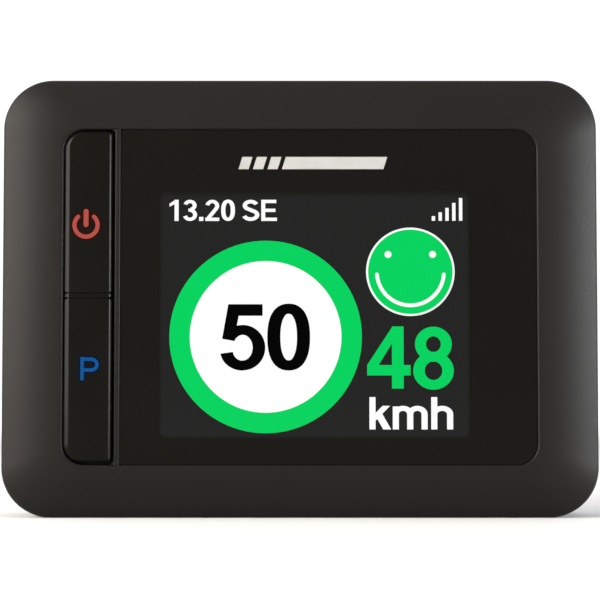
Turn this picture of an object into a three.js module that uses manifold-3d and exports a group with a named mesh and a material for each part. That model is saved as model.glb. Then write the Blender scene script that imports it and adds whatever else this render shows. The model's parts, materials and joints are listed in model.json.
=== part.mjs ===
// Dash-top radar and speed-camera detector: a two-shell plastic case with a domed front bezel,
// a flush display lens, two tilting keys on a fixed bridge, and the electronics that it holds.
// Millimetres, +Z up. The display faces -Y and the mounting disc faces +Y.
import * as THREE from "three";
import { mergeVertices } from "three/addons/utils/BufferGeometryUtils.js";
import Module from "manifold-3d";

const wasm = await Module();
wasm.setup();

// ---- Driving dimensions -------------------------------------------------------------------

const width = 78;
const height = 57.4;
const wall = 1.6;
const cornerRadius = 6.5;

// Depths along Y, front to back.
const keyFaceY = -8;
const rimY = -7.85;
const lensFaceY = -7.7;
const lensThickness = 1.2;
const tapeThickness = 0.25;
const lensFloorY = lensFaceY + lensThickness + tapeThickness;
const floorThickness = 1;
const floorBackY = lensFloorY + floorThickness;
const partingY = -2.6;
const boardFrontY = -2.5;
const boardThickness = 1;
const boardBackY = boardFrontY + boardThickness;
const sideWallEndY = 4.8;
const backFaceY = 7.6;
const discFaceY = 8;

// The opening that the lens and the keys share, and the rib that divides it.
const openingHalfWidth = 30.68;
const openingHalfHeight = 21.74;
const openingRadius = 2.7;
const ribLeft = -24.02;
const ribRight = -23.31;
const ribCornerRadius = 0.45;

// Domed face: an arc from the opening's rim to a small rounding at the outer edge.
const rimRounding = 0.9;
const domeInnerSlope = THREE.MathUtils.degToRad(3);
const domeOuterSlope = THREE.MathUtils.degToRad(30);
const seamChamfer = 0.2;

// Back face: how far its elliptical edge rounding reaches in from the side wall.
const backEdgeInset = 3.4;
const cavityEdgeInset = 2;

// Keys.
const keyEndGap = 0.3;
const keyX = [-openingHalfWidth + 0.2, ribLeft - 0.4];
const bridgeLow = -0.25;
const bridgeHigh = 0.5;
const keySplitGap = 0.12;
const keyCapThickness = 1.2;
const keyEdge = 0.35;
const keyFlangeOverlap = 0.8;
const keyFlangeY = [-5.15, -4.45];
const keyPostRadius = 1.2;
const switchX = -27.28;
const powerSwitchZ = 13.77;
const programSwitchZ = -13.52;
const powerLightZ = 9.4;
const programLightZ = -9.3;
const switchSide = 5.2;
const switchBodyFrontY = -4;
const plungerTipY = -4.5;
const keyPostEndY = plungerTipY - 0.05;

// Display module: active area, and the module around it.
const viewX = [-17.9, 21.9];
const viewZ = [-18.15, 13.55];
const windowMargin = 1.4;
const moduleX = [-20.9, 29.2];
const moduleZ = [-21.15, 16.55];
const gasketThickness = 0.3;
const glassThickness = 1.1;
const glassFrontY = floorBackY + gasketThickness;
const glassBackY = glassFrontY + glassThickness;

// Case screws.
const screwX = 32.2;
const screwZ = 21.9;
const wellRadius = 2.2;
const wellFloorY = 4.2;
const bossRadius = 2.8;
const frontBossRadius = 2.3;
const bossMeetY = -1.5;
const bossGap = 0.1;

// Back fittings.
const discRadius = 12;
const discThickness = 0.6;
const discTapeThickness = 0.3;
const recessClearance = 0.2;
const labelX = [15.5, 31];
const labelZ = [-13, 13];
const labelThickness = 0.3;
const labelStands = 0.05;

// Speaker.
const speakerX = -21;
const speakerZ = -10.5;
const speakerRadius = 10;
const grilleHoleRadius = 0.8;
const grillePitch = 2.9;
const grilleRings = 2;

// Mini-B socket in the right-hand wall.
const usbZ = -10;
const usbY = 0.45;
const usbHalfWidth = 3.85;
const usbHalfHeight = 1.95;
const usbMetal = 0.4;
const usbMouthX = 36.5;
const usbBackX = 27.4;
const usbSlotHalfWidth = 4.4;
const usbSlotY = [-1.6, 3];

const cornerSteps = 9;
const roundSteps = 20;

// ---- Materials ----------------------------------------------------------------------------

function finish(hex, roughness, metalness = 0) {
  return new THREE.MeshStandardMaterial({ color: hex, roughness, metalness });
}

const finishes = {
  casePlastic: finish(0x2b2a28, 0.55),
  keyPlastic: finish(0x1b1a18, 0.3),
  lens: finish(0x0c0c0b, 0.08),
  foam: finish(0x202020, 0.95),
  lcdGlass: finish(0x15181a, 0.1),
  whitePlastic: finish(0xd8d8d2, 0.5),
  flex: finish(0xb5762a, 0.4),
  board: finish(0x14502a, 0.45),
  chip: finish(0x1a1a1c, 0.5),
  connector: finish(0xe6e0cc, 0.5),
  ceramic: finish(0xb8a48a, 0.7),
  tin: finish(0xc9cbcd, 0.3, 1),
  steel: finish(0x9a9c9e, 0.35, 1),
  blackSteel: finish(0x2a2a2c, 0.4, 1),
  foil: finish(0xb9bcc0, 0.35, 0.6),
  redWire: finish(0xb01818, 0.5),
  blackWire: finish(0x151515, 0.5),
  cone: finish(0x24211f, 0.8),
  label: finish(0x8d9094, 0.5),
  redLight: finish(0xd8443a, 0.4),
  blueLight: finish(0x1f6fd0, 0.4),
};

// ---- Geometry helpers ---------------------------------------------------------------------

function toSolid(geometry) {
  const plain = (geometry.index ? geometry.toNonIndexed() : geometry).clone();
  plain.deleteAttribute("normal");
  plain.deleteAttribute("uv");
  const merged = mergeVertices(plain, 1e-4);
  return new wasm.Manifold(
    new wasm.Mesh({
      numProp: 3,
      vertProperties: new Float32Array(merged.attributes.position.array),
      triVerts: new Uint32Array(merged.index.array),
    }),
  );
}

function toGeometry(solid) {
  const mesh = solid.getMesh();
  const geometry = new THREE.BufferGeometry();
  geometry.setAttribute("position", new THREE.BufferAttribute(mesh.vertProperties, 3));
  geometry.setIndex(new THREE.BufferAttribute(mesh.triVerts, 1));
  return geometry;
}

function joined(first, ...others) {
  return others.reduce((made, other) => made.add(toSolid(other)), toSolid(first));
}

function cut(solid, ...tools) {
  return tools.reduce((made, tool) => made.subtract(toSolid(tool)), solid);
}

function box(x, y, z) {
  const sizes = [x, y, z].map(([low, high]) => high - low);
  const middles = [x, y, z].map(([low, high]) => (low + high) / 2);
  return new THREE.BoxGeometry(...sizes).translate(...middles);
}

// A bar along Y. A lower step count suits small holes.
function rod(x, z, radius, [y0, y1], steps = roundSteps) {
  return new THREE.CylinderGeometry(radius, radius, y1 - y0, steps).translate(x, (y0 + y1) / 2, z);
}

function grow([low, high], by) {
  return [low - by, high + by];
}

// A rectangle whose corners have their own radii, in the order low-left, low-right, high-right, high-left.
function cornerRect([x0, x1], [z0, z1], [a, b, c, d]) {
  const shape = new THREE.Shape();
  shape.absarc(x0 + a, z0 + a, a, Math.PI, Math.PI * 1.5);
  shape.absarc(x1 - b, z0 + b, b, Math.PI * 1.5, Math.PI * 2);
  shape.absarc(x1 - c, z1 - c, c, 0, Math.PI / 2);
  shape.absarc(x0 + d, z1 - d, d, Math.PI / 2, Math.PI);
  shape.closePath();
  return shape;
}

// Extrudes a shape drawn in X and Z along Y.
function alongY(shape, [y0, y1], curveSegments = 8) {
  const geometry = new THREE.ExtrudeGeometry(shape, {
    depth: y1 - y0,
    bevelEnabled: false,
    curveSegments,
  });
  return geometry.rotateX(Math.PI / 2).translate(0, y1, 0);
}

// Extrudes a shape drawn in Y and Z along X.
function alongX(shape, [x0, x1], curveSegments = 6) {
  const geometry = new THREE.ExtrudeGeometry(shape, {
    depth: x1 - x0,
    bevelEnabled: false,
    curveSegments,
  });
  const turn = new THREE.Matrix4().makeBasis(
    new THREE.Vector3(0, 1, 0),
    new THREE.Vector3(0, 0, 1),
    new THREE.Vector3(1, 0, 0),
  );
  return geometry.applyMatrix4(turn).translate(x0, 0, 0);
}

// A turned piece about a line along Y, from [radius, y] pairs.
function turned(profile, x, z, steps = roundSteps) {
  const points = profile.map(([r, y]) => new THREE.Vector2(r, y));
  return new THREE.LatheGeometry(points, steps).translate(x, 0, z);
}

// A wire along a smooth route.
function wire(route, radius) {
  const sides = 8;
  const circle = new THREE.Shape();
  for (let i = 0; i < sides; i += 1) {
    const angle = (i / sides) * Math.PI * 2;
    const point = [radius * Math.cos(angle), radius * Math.sin(angle)];
    if (i === 0) circle.moveTo(...point);
    else circle.lineTo(...point);
  }
  const path = new THREE.CatmullRomCurve3(route.map((p) => new THREE.Vector3(...p)));
  return new THREE.ExtrudeGeometry(circle, { steps: 14, extrudePath: path, bevelEnabled: false });
}

// One level of a body: points of a rounded rectangle at a given depth, anticlockwise from low-left.
// The radii are in the order low-left, low-right, high-right, high-left.
function level({ x, z, radii, y }) {
  const steps = radii.every((r) => r < 1) ? 2 : cornerSteps;
  return radii.flatMap((radius, corner) => {
    const middleX = corner === 0 || corner === 3 ? x[0] + radius : x[1] - radius;
    const middleZ = corner < 2 ? z[0] + radius : z[1] - radius;
    return Array.from({ length: steps + 1 }, (_, i) => {
      const angle = ((2 + corner + i / steps) * Math.PI) / 2;
      return [middleX + radius * Math.cos(angle), y, middleZ + radius * Math.sin(angle)];
    });
  });
}

// A closed body through levels given front to back, flat at both ends.
function stacked(levels) {
  const rings = levels.map(level);
  const count = rings[0].length;
  const positions = rings.flat(2);
  const faces = [];
  rings.slice(1).forEach((_, k) => {
    for (let i = 0; i < count; i += 1) {
      const next = (i + 1) % count;
      const [a, b] = [k * count + i, k * count + next];
      const [c, d] = [a + count, b + count];
      faces.push(a, d, b, a, c, d);
    }
  });
  const last = (rings.length - 1) * count;
  const front = positions.length / 3;
  for (const { x, z, y } of [levels[0], levels.at(-1)])
    positions.push((x[0] + x[1]) / 2, y, (z[0] + z[1]) / 2);
  for (let i = 0; i < count; i += 1) {
    const next = (i + 1) % count;
    faces.push(front, i, next, front + 1, last + next, last + i);
  }
  const geometry = new THREE.BufferGeometry();
  geometry.setAttribute("position", new THREE.Float32BufferAttribute(positions, 3));
  geometry.setIndex(faces);
  return geometry;
}

// A level centred on the device's middle line.
function centredLevel(halfWidth, halfHeight, radius, y) {
  const radii = [radius, radius, radius, radius];
  return { x: [-halfWidth, halfWidth], z: [-halfHeight, halfHeight], radii, y };
}

// The case outline moved inwards at depth y.
function inset(by, y) {
  return centredLevel(width / 2 - by, height / 2 - by, Math.max(cornerRadius - by, 0.5), y);
}

// ---- Case ---------------------------------------------------------------------------------

const bezelBand = width / 2 - openingHalfWidth;
const domeStart = rimRounding * (1 - Math.sin(domeOuterSlope));
const domeRadius =
  (bezelBand - domeStart) / (Math.sin(domeOuterSlope) - Math.sin(domeInnerSlope));

// The bezel's front between the case outline (share 0) and the opening (share 1).
function bezelLevel(insetX, y) {
  const share = Math.min(insetX / bezelBand, 1);
  return centredLevel(
    width / 2 - insetX,
    height / 2 - share * (height / 2 - openingHalfHeight),
    cornerRadius - share * (cornerRadius - openingRadius),
    y,
  );
}

// A point on the dome at a slope, moved inwards by depth along its normal.
function domePoint(slope, depth) {
  const along = domeRadius * (Math.sin(slope) - Math.sin(domeInnerSlope));
  const drop = domeRadius * (Math.cos(domeInnerSlope) - Math.cos(slope));
  return [
    bezelBand - along + depth * Math.sin(slope),
    rimY + drop + depth * Math.cos(slope),
  ];
}

function slopes(from, to, steps) {
  return Array.from({ length: steps + 1 }, (_, i) => from + ((to - from) * i) / steps);
}

function bezelOuter() {
  const dome = slopes(domeInnerSlope, domeOuterSlope, 6).map((slope) =>
    bezelLevel(...domePoint(slope, 0)),
  );
  const [, edgeY] = domePoint(domeOuterSlope, 0);
  const roundingY = edgeY + rimRounding * Math.cos(domeOuterSlope);
  const rounding = slopes(domeOuterSlope, Math.PI / 2, 4)
    .slice(1)
    .map((slope) =>
      bezelLevel(rimRounding * (1 - Math.sin(slope)), roundingY - rimRounding * Math.cos(slope)),
    );
  return stacked([
    ...dome,
    ...rounding,
    inset(0, partingY - seamChamfer),
    inset(seamChamfer, partingY),
  ]);
}

function bezelCavity() {
  const dome = slopes(domeInnerSlope, domeOuterSlope, 4)
    .map((slope) => domePoint(slope, wall))
    .filter(([insetX]) => insetX > wall)
    .map(([insetX, y]) => bezelLevel(insetX, y));
  const last = dome.at(-1).y;
  return stacked([...dome, inset(wall, last + 0.5), inset(wall, partingY + 2)]);
}

const lipThickness = 0.75;
const lipHeight = 0.7;
const lipGap = 0.1;

function lip() {
  const outside = toSolid(
    stacked([inset(wall - lipThickness, partingY - 1), inset(wall - lipThickness, partingY + lipHeight)]),
  );
  return outside.subtract(
    toSolid(stacked([inset(wall, partingY - 2), inset(wall, partingY + lipHeight + 1)])),
  );
}

const screwPlaces = [
  [screwX, screwZ],
  [-screwX, screwZ],
  [-screwX, -screwZ],
  [screwX, -screwZ],
];

const boardPosts = [
  [-22, 18.4],
  [-22, -18.4],
  [12, 20.4],
  [33.2, 12],
];

function frontBezel() {
  const through = [rimY - 1, floorBackY + 1];
  const r = openingRadius;
  const s = ribCornerRadius;
  const keyOpening = cornerRect(
    [-openingHalfWidth, ribLeft],
    [-openingHalfHeight, openingHalfHeight],
    [r, s, s, r],
  );
  const lensRecess = cornerRect(
    [ribRight, openingHalfWidth],
    [-openingHalfHeight, openingHalfHeight],
    [s, r, r, s],
  );
  const displayWindow = cornerRect(
    grow(viewX, windowMargin),
    grow(viewZ, windowMargin),
    [1, 1, 1, 1],
  );
  const floorPlate = alongY(
    cornerRect([-31.9, 31.9], [-22.9, 22.9], [3, 3, 3, 3]),
    [lensFloorY - 0.35, floorBackY],
  );
  let bezel = cut(toSolid(bezelOuter()), bezelCavity());
  bezel = bezel.add(lip()).add(toSolid(floorPlate));
  for (const [x, z] of screwPlaces)
    bezel = bezel.add(toSolid(rod(x, z, frontBossRadius, [rimY + wall, bossMeetY])));
  for (const [x, z] of boardPosts)
    bezel = bezel.add(toSolid(rod(x, z, 0.9, [rimY + wall, boardFrontY], 12)));
  bezel = cut(
    bezel,
    alongY(keyOpening, through),
    alongY(lensRecess, [rimY - 1, lensFloorY]),
    alongY(displayWindow, through),
  );
  for (const [x, z] of screwPlaces)
    bezel = cut(bezel, rod(x, z, 1.05, [-5.2, 0], 12));
  return toGeometry(bezel);
}

function coverOuter() {
  const depth = backFaceY - sideWallEndY;
  const rounding = slopes(0, Math.PI / 2, 6).map((angle) =>
    inset(backEdgeInset * (1 - Math.cos(angle)), sideWallEndY + depth * Math.sin(angle)),
  );
  return stacked([inset(seamChamfer, partingY), inset(0, partingY + seamChamfer), ...rounding]);
}

function coverCavity() {
  const depth = backFaceY - wall - sideWallEndY;
  const rounding = slopes(0, Math.PI / 2, 4).map((angle) =>
    inset(wall + cavityEdgeInset * (1 - Math.cos(angle)), sideWallEndY + depth * Math.sin(angle)),
  );
  return stacked([inset(wall, partingY - 1), ...rounding]);
}

// Ring k of the grille has 6k holes, and the middle one.
function grilleHoles() {
  const places = [[speakerX, speakerZ]];
  for (let ring = 1; ring <= grilleRings; ring += 1) {
    for (let i = 0; i < 6 * ring; i += 1) {
      const angle = (i / (6 * ring)) * Math.PI * 2;
      const reach = ring * grillePitch;
      places.push([speakerX + reach * Math.cos(angle), speakerZ + reach * Math.sin(angle)]);
    }
  }
  return places;
}

function rearCover() {
  const innerFloorY = backFaceY - wall;
  const discTapeY = discFaceY - discThickness - discTapeThickness;
  const recessBacking = 0.9;
  let cover = cut(toSolid(coverOuter()), coverCavity());
  const rebate = inset(wall - lipThickness - lipGap, partingY - 1);
  cover = cut(cover, stacked([rebate, { ...rebate, y: partingY + lipHeight + lipGap }]));
  cover = cover.add(
    toSolid(rod(0, 0, discRadius + 1, [innerFloorY - recessBacking, innerFloorY + 0.5], 32)),
  );
  for (const [x, z] of screwPlaces)
    cover = cover.add(toSolid(rod(x, z, bossRadius, [bossMeetY + bossGap, innerFloorY + 0.5])));
  for (const [x, z] of screwPlaces) {
    cover = cut(
      cover,
      rod(x, z, wellRadius, [wellFloorY, backFaceY + 1]),
      rod(x, z, 1.15, [bossMeetY - 1, wellFloorY + 1], 12),
    );
  }
  cover = cut(cover, rod(0, 0, discRadius + recessClearance, [discTapeY, backFaceY + 1], 48));
  for (const [x, z] of grilleHoles())
    cover = cut(cover, rod(x, z, grilleHoleRadius, [innerFloorY - 1, backFaceY + 1], 10));
  const labelRecess = cornerRect(
    grow(labelX, recessClearance),
    grow(labelZ, recessClearance),
    [1, 1, 1, 1],
  );
  cover = cut(cover, alongY(labelRecess, [backFaceY - labelThickness + labelStands, backFaceY + 1], 4));
  const slotShape = cornerRect(
    usbSlotY,
    grow([usbZ, usbZ], usbSlotHalfWidth),
    [1, 1, 1, 1],
  );
  cover = cut(cover, alongX(slotShape, [width / 2 - wall - 1, width / 2 + 1]));
  return toGeometry(cover);
}

// ---- Front fittings -----------------------------------------------------------------------

const lensEdgeGap = 0.12;
const lensX = [ribRight + lensEdgeGap, openingHalfWidth - lensEdgeGap];
const lensZ = grow([0, 0], openingHalfHeight - lensEdgeGap);

function displayLens() {
  const outer = openingRadius - lensEdgeGap;
  const shape = cornerRect(lensX, lensZ, [0.35, outer, outer, 0.35]);
  return alongY(shape, [lensFaceY, lensFaceY + lensThickness]);
}

// A flat ring between two rectangles, used for tape and gasket.
function flatRing(outer, inner, y) {
  const shape = cornerRect(...outer, [1, 1, 1, 1]);
  shape.holes.push(cornerRect(...inner, [0.6, 0.6, 0.6, 0.6]));
  return alongY(shape, y, 3);
}

function lensAdhesive() {
  const y = [lensFaceY + lensThickness, lensFloorY];
  const outer = [grow(lensX, -0.5), grow(lensZ, -0.5)];
  return flatRing(outer, [grow(viewX, windowMargin + 0.3), grow(viewZ, windowMargin + 0.3)], y);
}

// A key: rounded cap, hollow behind, flange that stops it in its opening, and a post over its switch.
function key([zInner, zOuter], postZ) {
  const above = zOuter > zInner;
  const z = above ? [zInner, zOuter] : [zOuter, zInner];
  const x = keyX;
  const far = openingRadius - keyEndGap;
  const radii = above ? [0.15, 0.15, 0.45, far] : [far, 0.45, 0.15, 0.15];
  const rounding = slopes(0, Math.PI / 2, 3).map((angle) => {
    const by = keyEdge * (1 - Math.sin(angle));
    return {
      x: grow(x, -by),
      z: grow(z, -by),
      radii: radii.map((r) => Math.max(r - by, 0.1)),
      y: keyFaceY + keyEdge * (1 - Math.cos(angle)),
    };
  });
  const cap = stacked([...rounding, { x, z, radii, y: keyFlangeY[1] }]);
  const flangeZ = above
    ? [zInner + 0.2, zOuter + keyFlangeOverlap]
    : [zOuter - keyFlangeOverlap, zInner - 0.2];
  const flange = box(grow(x, keyFlangeOverlap), keyFlangeY, flangeZ);
  const bossX = -screwX;
  const bossZ = above ? screwZ : -screwZ;
  const hollow = box(grow(x, -1), [keyFaceY + keyCapThickness, keyFlangeY[1] + 1], grow(z, -1.2));
  const post = rod(switchX, postZ, keyPostRadius, [keyFaceY + keyCapThickness - 0.2, keyPostEndY], 16);
  const bossClearance = rod(bossX, bossZ, frontBossRadius + 0.3, grow(keyFlangeY, 1));
  return toGeometry(cut(joined(cap, flange), hollow, bossClearance).add(toSolid(post)));
}

function buttonBridge() {
  const z = [bridgeLow, bridgeHigh];
  const bar = box(keyX, [keyFaceY + 0.1, floorBackY + 0.8], z);
  const ears = box(grow(keyX, 1.3), [floorBackY, floorBackY + 0.8], z);
  return toGeometry(joined(bar, ears));
}

// ---- Display module -----------------------------------------------------------------------

const glassX = [-20.6, 27.6];
const glassZ = [-20.85, 16.25];

function lcdGasket() {
  return flatRing(
    [grow(viewX, 2.4), grow(viewZ, 2.3)],
    [grow(viewX, 0.6), grow(viewZ, 0.6)],
    [floorBackY, glassFrontY],
  );
}

function lcdBacklightFrame() {
  const tray = toSolid(box(moduleX, [glassFrontY + 0.5, boardFrontY], moduleZ));
  const pocket = box(grow(glassX, 0.05), [glassFrontY - 1, glassBackY], grow(glassZ, 0.05));
  return toGeometry(cut(tray, pocket));
}

// The flex leaves the tray's edge, folds round the board's right edge and ends in its connector.
const boardX = [-34.4, 34.3];
const boardZ = [-25.2, 25.2];
const flexThickness = 0.3;
const flexZ = [-2, 8];
const connectorX = [28.9, 32.3];

function lcdFlex() {
  const startX = moduleX[1];
  const foldX = boardX[1] + 0.6;
  const frontY = boardFrontY - 0.4;
  const backY = boardBackY + 0.5;
  const middleY = (frontY + backY) / 2;
  const reach = (backY - frontY) / 2;
  const shape = new THREE.Shape();
  shape.moveTo(startX, frontY - flexThickness / 2);
  shape.lineTo(foldX, frontY - flexThickness / 2);
  shape.absarc(foldX, middleY, reach + flexThickness / 2, -Math.PI / 2, Math.PI / 2);
  shape.lineTo(connectorX[1], backY + flexThickness / 2);
  shape.lineTo(connectorX[1], backY - flexThickness / 2);
  shape.lineTo(foldX, backY - flexThickness / 2);
  shape.absarc(foldX, middleY, reach - flexThickness / 2, Math.PI / 2, -Math.PI / 2, true);
  shape.lineTo(startX, frontY + flexThickness / 2);
  shape.closePath();
  const strip = new THREE.ExtrudeGeometry(shape, {
    depth: flexZ[1] - flexZ[0],
    bevelEnabled: false,
    curveSegments: 10,
  });
  return strip.translate(0, 0, flexZ[0]);
}

// ---- Board and what is on it ---------------------------------------------------------------

function mainBoard() {
  let board = toSolid(
    alongY(cornerRect(boardX, boardZ, [2, 2, 2, 2]), [boardFrontY, boardBackY], 4),
  );
  for (const [x, z] of screwPlaces)
    board = cut(board, rod(x, z, 3.2, [boardFrontY - 1, boardBackY + 1], 24));
  const corners = [
    [1, 1],
    [-1, 1],
    [-1, -1],
    [1, -1],
  ];
  for (const [sx, sz] of corners) {
    const tool = box(
      sx > 0 ? [screwX, 40] : [-40, -screwX],
      [boardFrontY - 1, boardBackY + 1],
      sz > 0 ? [screwZ, 30] : [-30, -screwZ],
    );
    board = cut(board, tool);
  }
  return toGeometry(board);
}

function backPart(x, z, tall) {
  return box(x, [boardBackY, boardBackY + tall], z);
}

function centred(middle, size) {
  return [middle - size / 2, middle + size / 2];
}

function switchBody(z) {
  const depth = [switchBodyFrontY, boardFrontY];
  const body = box(centred(switchX, switchSide), depth, centred(z, switchSide));
  const bore = rod(switchX, z, 1.3, [switchBodyFrontY - 1, boardFrontY - 0.5], 16);
  return toGeometry(cut(toSolid(body), bore));
}

function switchPlunger(z) {
  return rod(switchX, z, 1.2, [plungerTipY, switchBodyFrontY + 0.7], 16);
}

const antennaX = [10, 28];
const antennaZ = [4, 22];
const antennaTall = 4;

function patchElectrode() {
  const y = boardBackY + antennaTall;
  const shape = cornerRect(grow(antennaX, -1.5), grow(antennaZ, -1.5), [0.5, 0.5, 1.6, 0.5]);
  const feed = new THREE.Path();
  feed.absarc(20.8, 13, 0.9, 0, Math.PI * 2);
  shape.holes.push(feed);
  return alongY(shape, [y, y + 0.1], 6);
}

// The socket's outline in Y and Z: a flat-topped D whose board side is narrower.
function usbOutline(halfHeight, halfWidth) {
  const shape = new THREE.Shape();
  const slant = 0.9;
  shape.moveTo(usbY - halfHeight, usbZ - halfWidth + slant);
  shape.lineTo(usbY + halfHeight - slant, usbZ - halfWidth);
  shape.lineTo(usbY + halfHeight, usbZ - halfWidth);
  shape.lineTo(usbY + halfHeight, usbZ + halfWidth);
  shape.lineTo(usbY + halfHeight - slant, usbZ + halfWidth);
  shape.lineTo(usbY - halfHeight, usbZ + halfWidth - slant);
  shape.closePath();
  return shape;
}

function usbShell() {
  const outer = alongX(usbOutline(usbHalfHeight, usbHalfWidth), [usbBackX, usbMouthX]);
  const inner = alongX(
    usbOutline(usbHalfHeight - usbMetal, usbHalfWidth - usbMetal),
    [usbBackX + 0.6, usbMouthX + 1],
  );
  return toGeometry(cut(toSolid(outer), inner));
}

// ---- Speaker -------------------------------------------------------------------------------

const speakerFrontY = 5.7;
const basketDepth = 2.6;
const coneLedgeY = 5;

// The basket's back plate lies on the magnet, and its ledge holds the cone's edge.
function speakerBasket() {
  const back = speakerFrontY - basketDepth;
  return turned(
    [
      [3.2, back],
      [speakerRadius - 1.5, back],
      [speakerRadius, back + 1.4],
      [speakerRadius, speakerFrontY],
      [speakerRadius - 1.2, speakerFrontY],
      [speakerRadius - 1.2, coneLedgeY],
      [speakerRadius - 1.9, coneLedgeY],
      [speakerRadius - 2.2, back + 0.6],
      [3.2, back + 0.6],
      [3.2, back],
    ],
    speakerX,
    speakerZ,
    28,
  );
}

function speakerCone() {
  const edge = speakerRadius - 1.4;
  return turned(
    [
      [0, 4.6],
      [3, 4.2],
      [3.2, 4],
      [edge - 1, 4.9],
      [edge - 0.5, coneLedgeY],
      [edge, coneLedgeY],
      [edge, coneLedgeY + 0.3],
      [edge - 1.1, 5.2],
      [3.3, 4.3],
      [3, 4.5],
      [0, 4.9],
    ],
    speakerX,
    speakerZ,
    28,
  );
}

function speakerMagnet() {
  const y = [-0.7, speakerFrontY - basketDepth];
  return turned([[0, y[0]], [5, y[0]], [5, y[1]], [0, y[1]]], speakerX, speakerZ, 24);
}

function ring(x, z, inner, outer, [y0, y1], steps = 28) {
  return turned([[inner, y0], [outer, y0], [outer, y1], [inner, y1], [inner, y0]], x, z, steps);
}

// ---- Screws --------------------------------------------------------------------------------

const screwHeadTall = 1.3;
const screwHeadRadius = 1.9;
const screwShankRadius = 0.95;
const screwTipY = -4.8;

function caseScrew(x, z) {
  const top = wellFloorY + screwHeadTall;
  const body = turned(
    [
      [0, screwTipY],
      [0.5, screwTipY],
      [screwShankRadius, screwTipY + 0.8],
      [screwShankRadius, wellFloorY],
      [screwHeadRadius, wellFloorY],
      [screwHeadRadius, top - 0.6],
      [screwHeadRadius - 0.5, top - 0.12],
      [0, top],
    ],
    x,
    z,
    18,
  );
  const slot = [top - 0.7, top + 1];
  return toGeometry(
    cut(
      toSolid(body),
      box(centred(x, 2.1), slot, centred(z, 0.5)),
      box(centred(x, 0.5), slot, centred(z, 2.1)),
    ),
  );
}

// ---- Assembly ------------------------------------------------------------------------------

// The device group's own origin is the middle of the front face, half the height above the base.
const device = new THREE.Group();
device.position.z = height / 2;

function add(name, geometry, material) {
  const mesh = new THREE.Mesh(geometry, material);
  mesh.name = name;
  device.add(mesh);
}

const keyOuter = openingHalfHeight - keyEndGap;

add("front_bezel", frontBezel(), finishes.casePlastic);
add("rear_cover", rearCover(), finishes.casePlastic);
add("display_lens", displayLens(), finishes.lens);
add("lens_adhesive", lensAdhesive(), finishes.foam);
add("power_button", key([bridgeHigh + keySplitGap, keyOuter], powerSwitchZ), finishes.keyPlastic);
add("program_button", key([bridgeLow - keySplitGap, -keyOuter], programSwitchZ), finishes.keyPlastic);
add("button_bridge", buttonBridge(), finishes.keyPlastic);

add("lcd_gasket", lcdGasket(), finishes.foam);
add("lcd_glass", box(glassX, [glassFrontY, glassBackY], glassZ), finishes.lcdGlass);
add("lcd_backlight_frame", lcdBacklightFrame(), finishes.whitePlastic);
add("lcd_flex", lcdFlex(), finishes.flex);
add(
  "lcd_connector",
  backPart([connectorX[0], connectorX[1] - 0.05], grow(flexZ, 1), 1.4),
  finishes.connector,
);

add("main_board", mainBoard(), finishes.board);
add("power_switch_body", switchBody(powerSwitchZ), finishes.tin);
add("power_switch_plunger", switchPlunger(powerSwitchZ), finishes.chip);
add("program_switch_body", switchBody(programSwitchZ), finishes.tin);
add("program_switch_plunger", switchPlunger(programSwitchZ), finishes.chip);
for (const [name, z, light] of [
  ["power_led", powerLightZ, finishes.redLight],
  ["program_led", programLightZ, finishes.blueLight],
]) {
  add(name, box(centred(switchX, 1.6), [boardFrontY - 0.7, boardFrontY], centred(z, 0.8)), light);
}

add("gps_patch_antenna", backPart(antennaX, antennaZ, antennaTall), finishes.ceramic);
add("gps_patch_electrode", patchElectrode(), finishes.tin);
add(
  "gps_feed_pin",
  rod(20.8, 13, 0.6, [boardBackY + antennaTall, boardBackY + antennaTall + 0.25], 12),
  finishes.tin,
);
add("gps_shield_can", backPart([13, 25], [-7.5, 2.5], 2), finishes.tin);
add("processor_chip", backPart(centred(0, 10), centred(-9, 10), 1), finishes.chip);
add("memory_chip", backPart(centred(0, 6), centred(-19.5, 5), 0.9), finishes.chip);
add("audio_amplifier_chip", backPart(centred(-8, 3), centred(-20.5, 3), 0.8), finishes.chip);
add("charger_chip", backPart(centred(25.1, 3), centred(-12, 3), 0.8), finishes.chip);
add("power_inductor", backPart(centred(20.5, 4), centred(-13, 4), 1.8), finishes.chip);
add("crystal", backPart(centred(9.5, 3.2), centred(-10, 5), 1), finishes.tin);
add("usb_socket_shell", usbShell(), finishes.tin);
add(
  "usb_socket_tongue",
  box([usbBackX + 0.6, usbMouthX - 1.2], centred(usbY - 0.1, 0.8), centred(usbZ, 4.6)),
  finishes.chip,
);

const batteryX = [-25, 4.6];
const batteryZ = [2.5, 22.5];
const batteryTapeTall = 0.3;
const batteryY = [boardBackY + batteryTapeTall, boardBackY + 4.8];
add(
  "battery_cell",
  alongX(
    cornerRect(batteryY, batteryZ, [0.4, 1.1, 1.1, 0.4]),
    batteryX,
  ),
  finishes.foil,
);
add("battery_tape", backPart(grow(batteryX, -4), grow(batteryZ, -3), batteryTapeTall), finishes.foam);
const plugX = [6, 9.4];
add("battery_connector", backPart(plugX, [-3.2, 1.6], 2.6), finishes.connector);
const leads = [
  ["battery_lead_red", -8.6, 0, finishes.redWire],
  ["battery_lead_black", -11, -1.6, finishes.blackWire],
];
for (const [name, x, endZ, colour] of leads) {
  const route = [
    [x, 1, batteryZ[0] - 0.1],
    [x + 0.2, 1, batteryZ[0] - 1.2 + endZ * 0.4],
    [x + 2, 0.6, endZ + 0.1],
    [x + 6, 0.1, endZ],
    [plugX[0] - 3, -0.2, endZ],
    [plugX[0] - 0.1, -0.2, endZ],
  ];
  add(name, wire(route, 0.5), colour);
}

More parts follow.
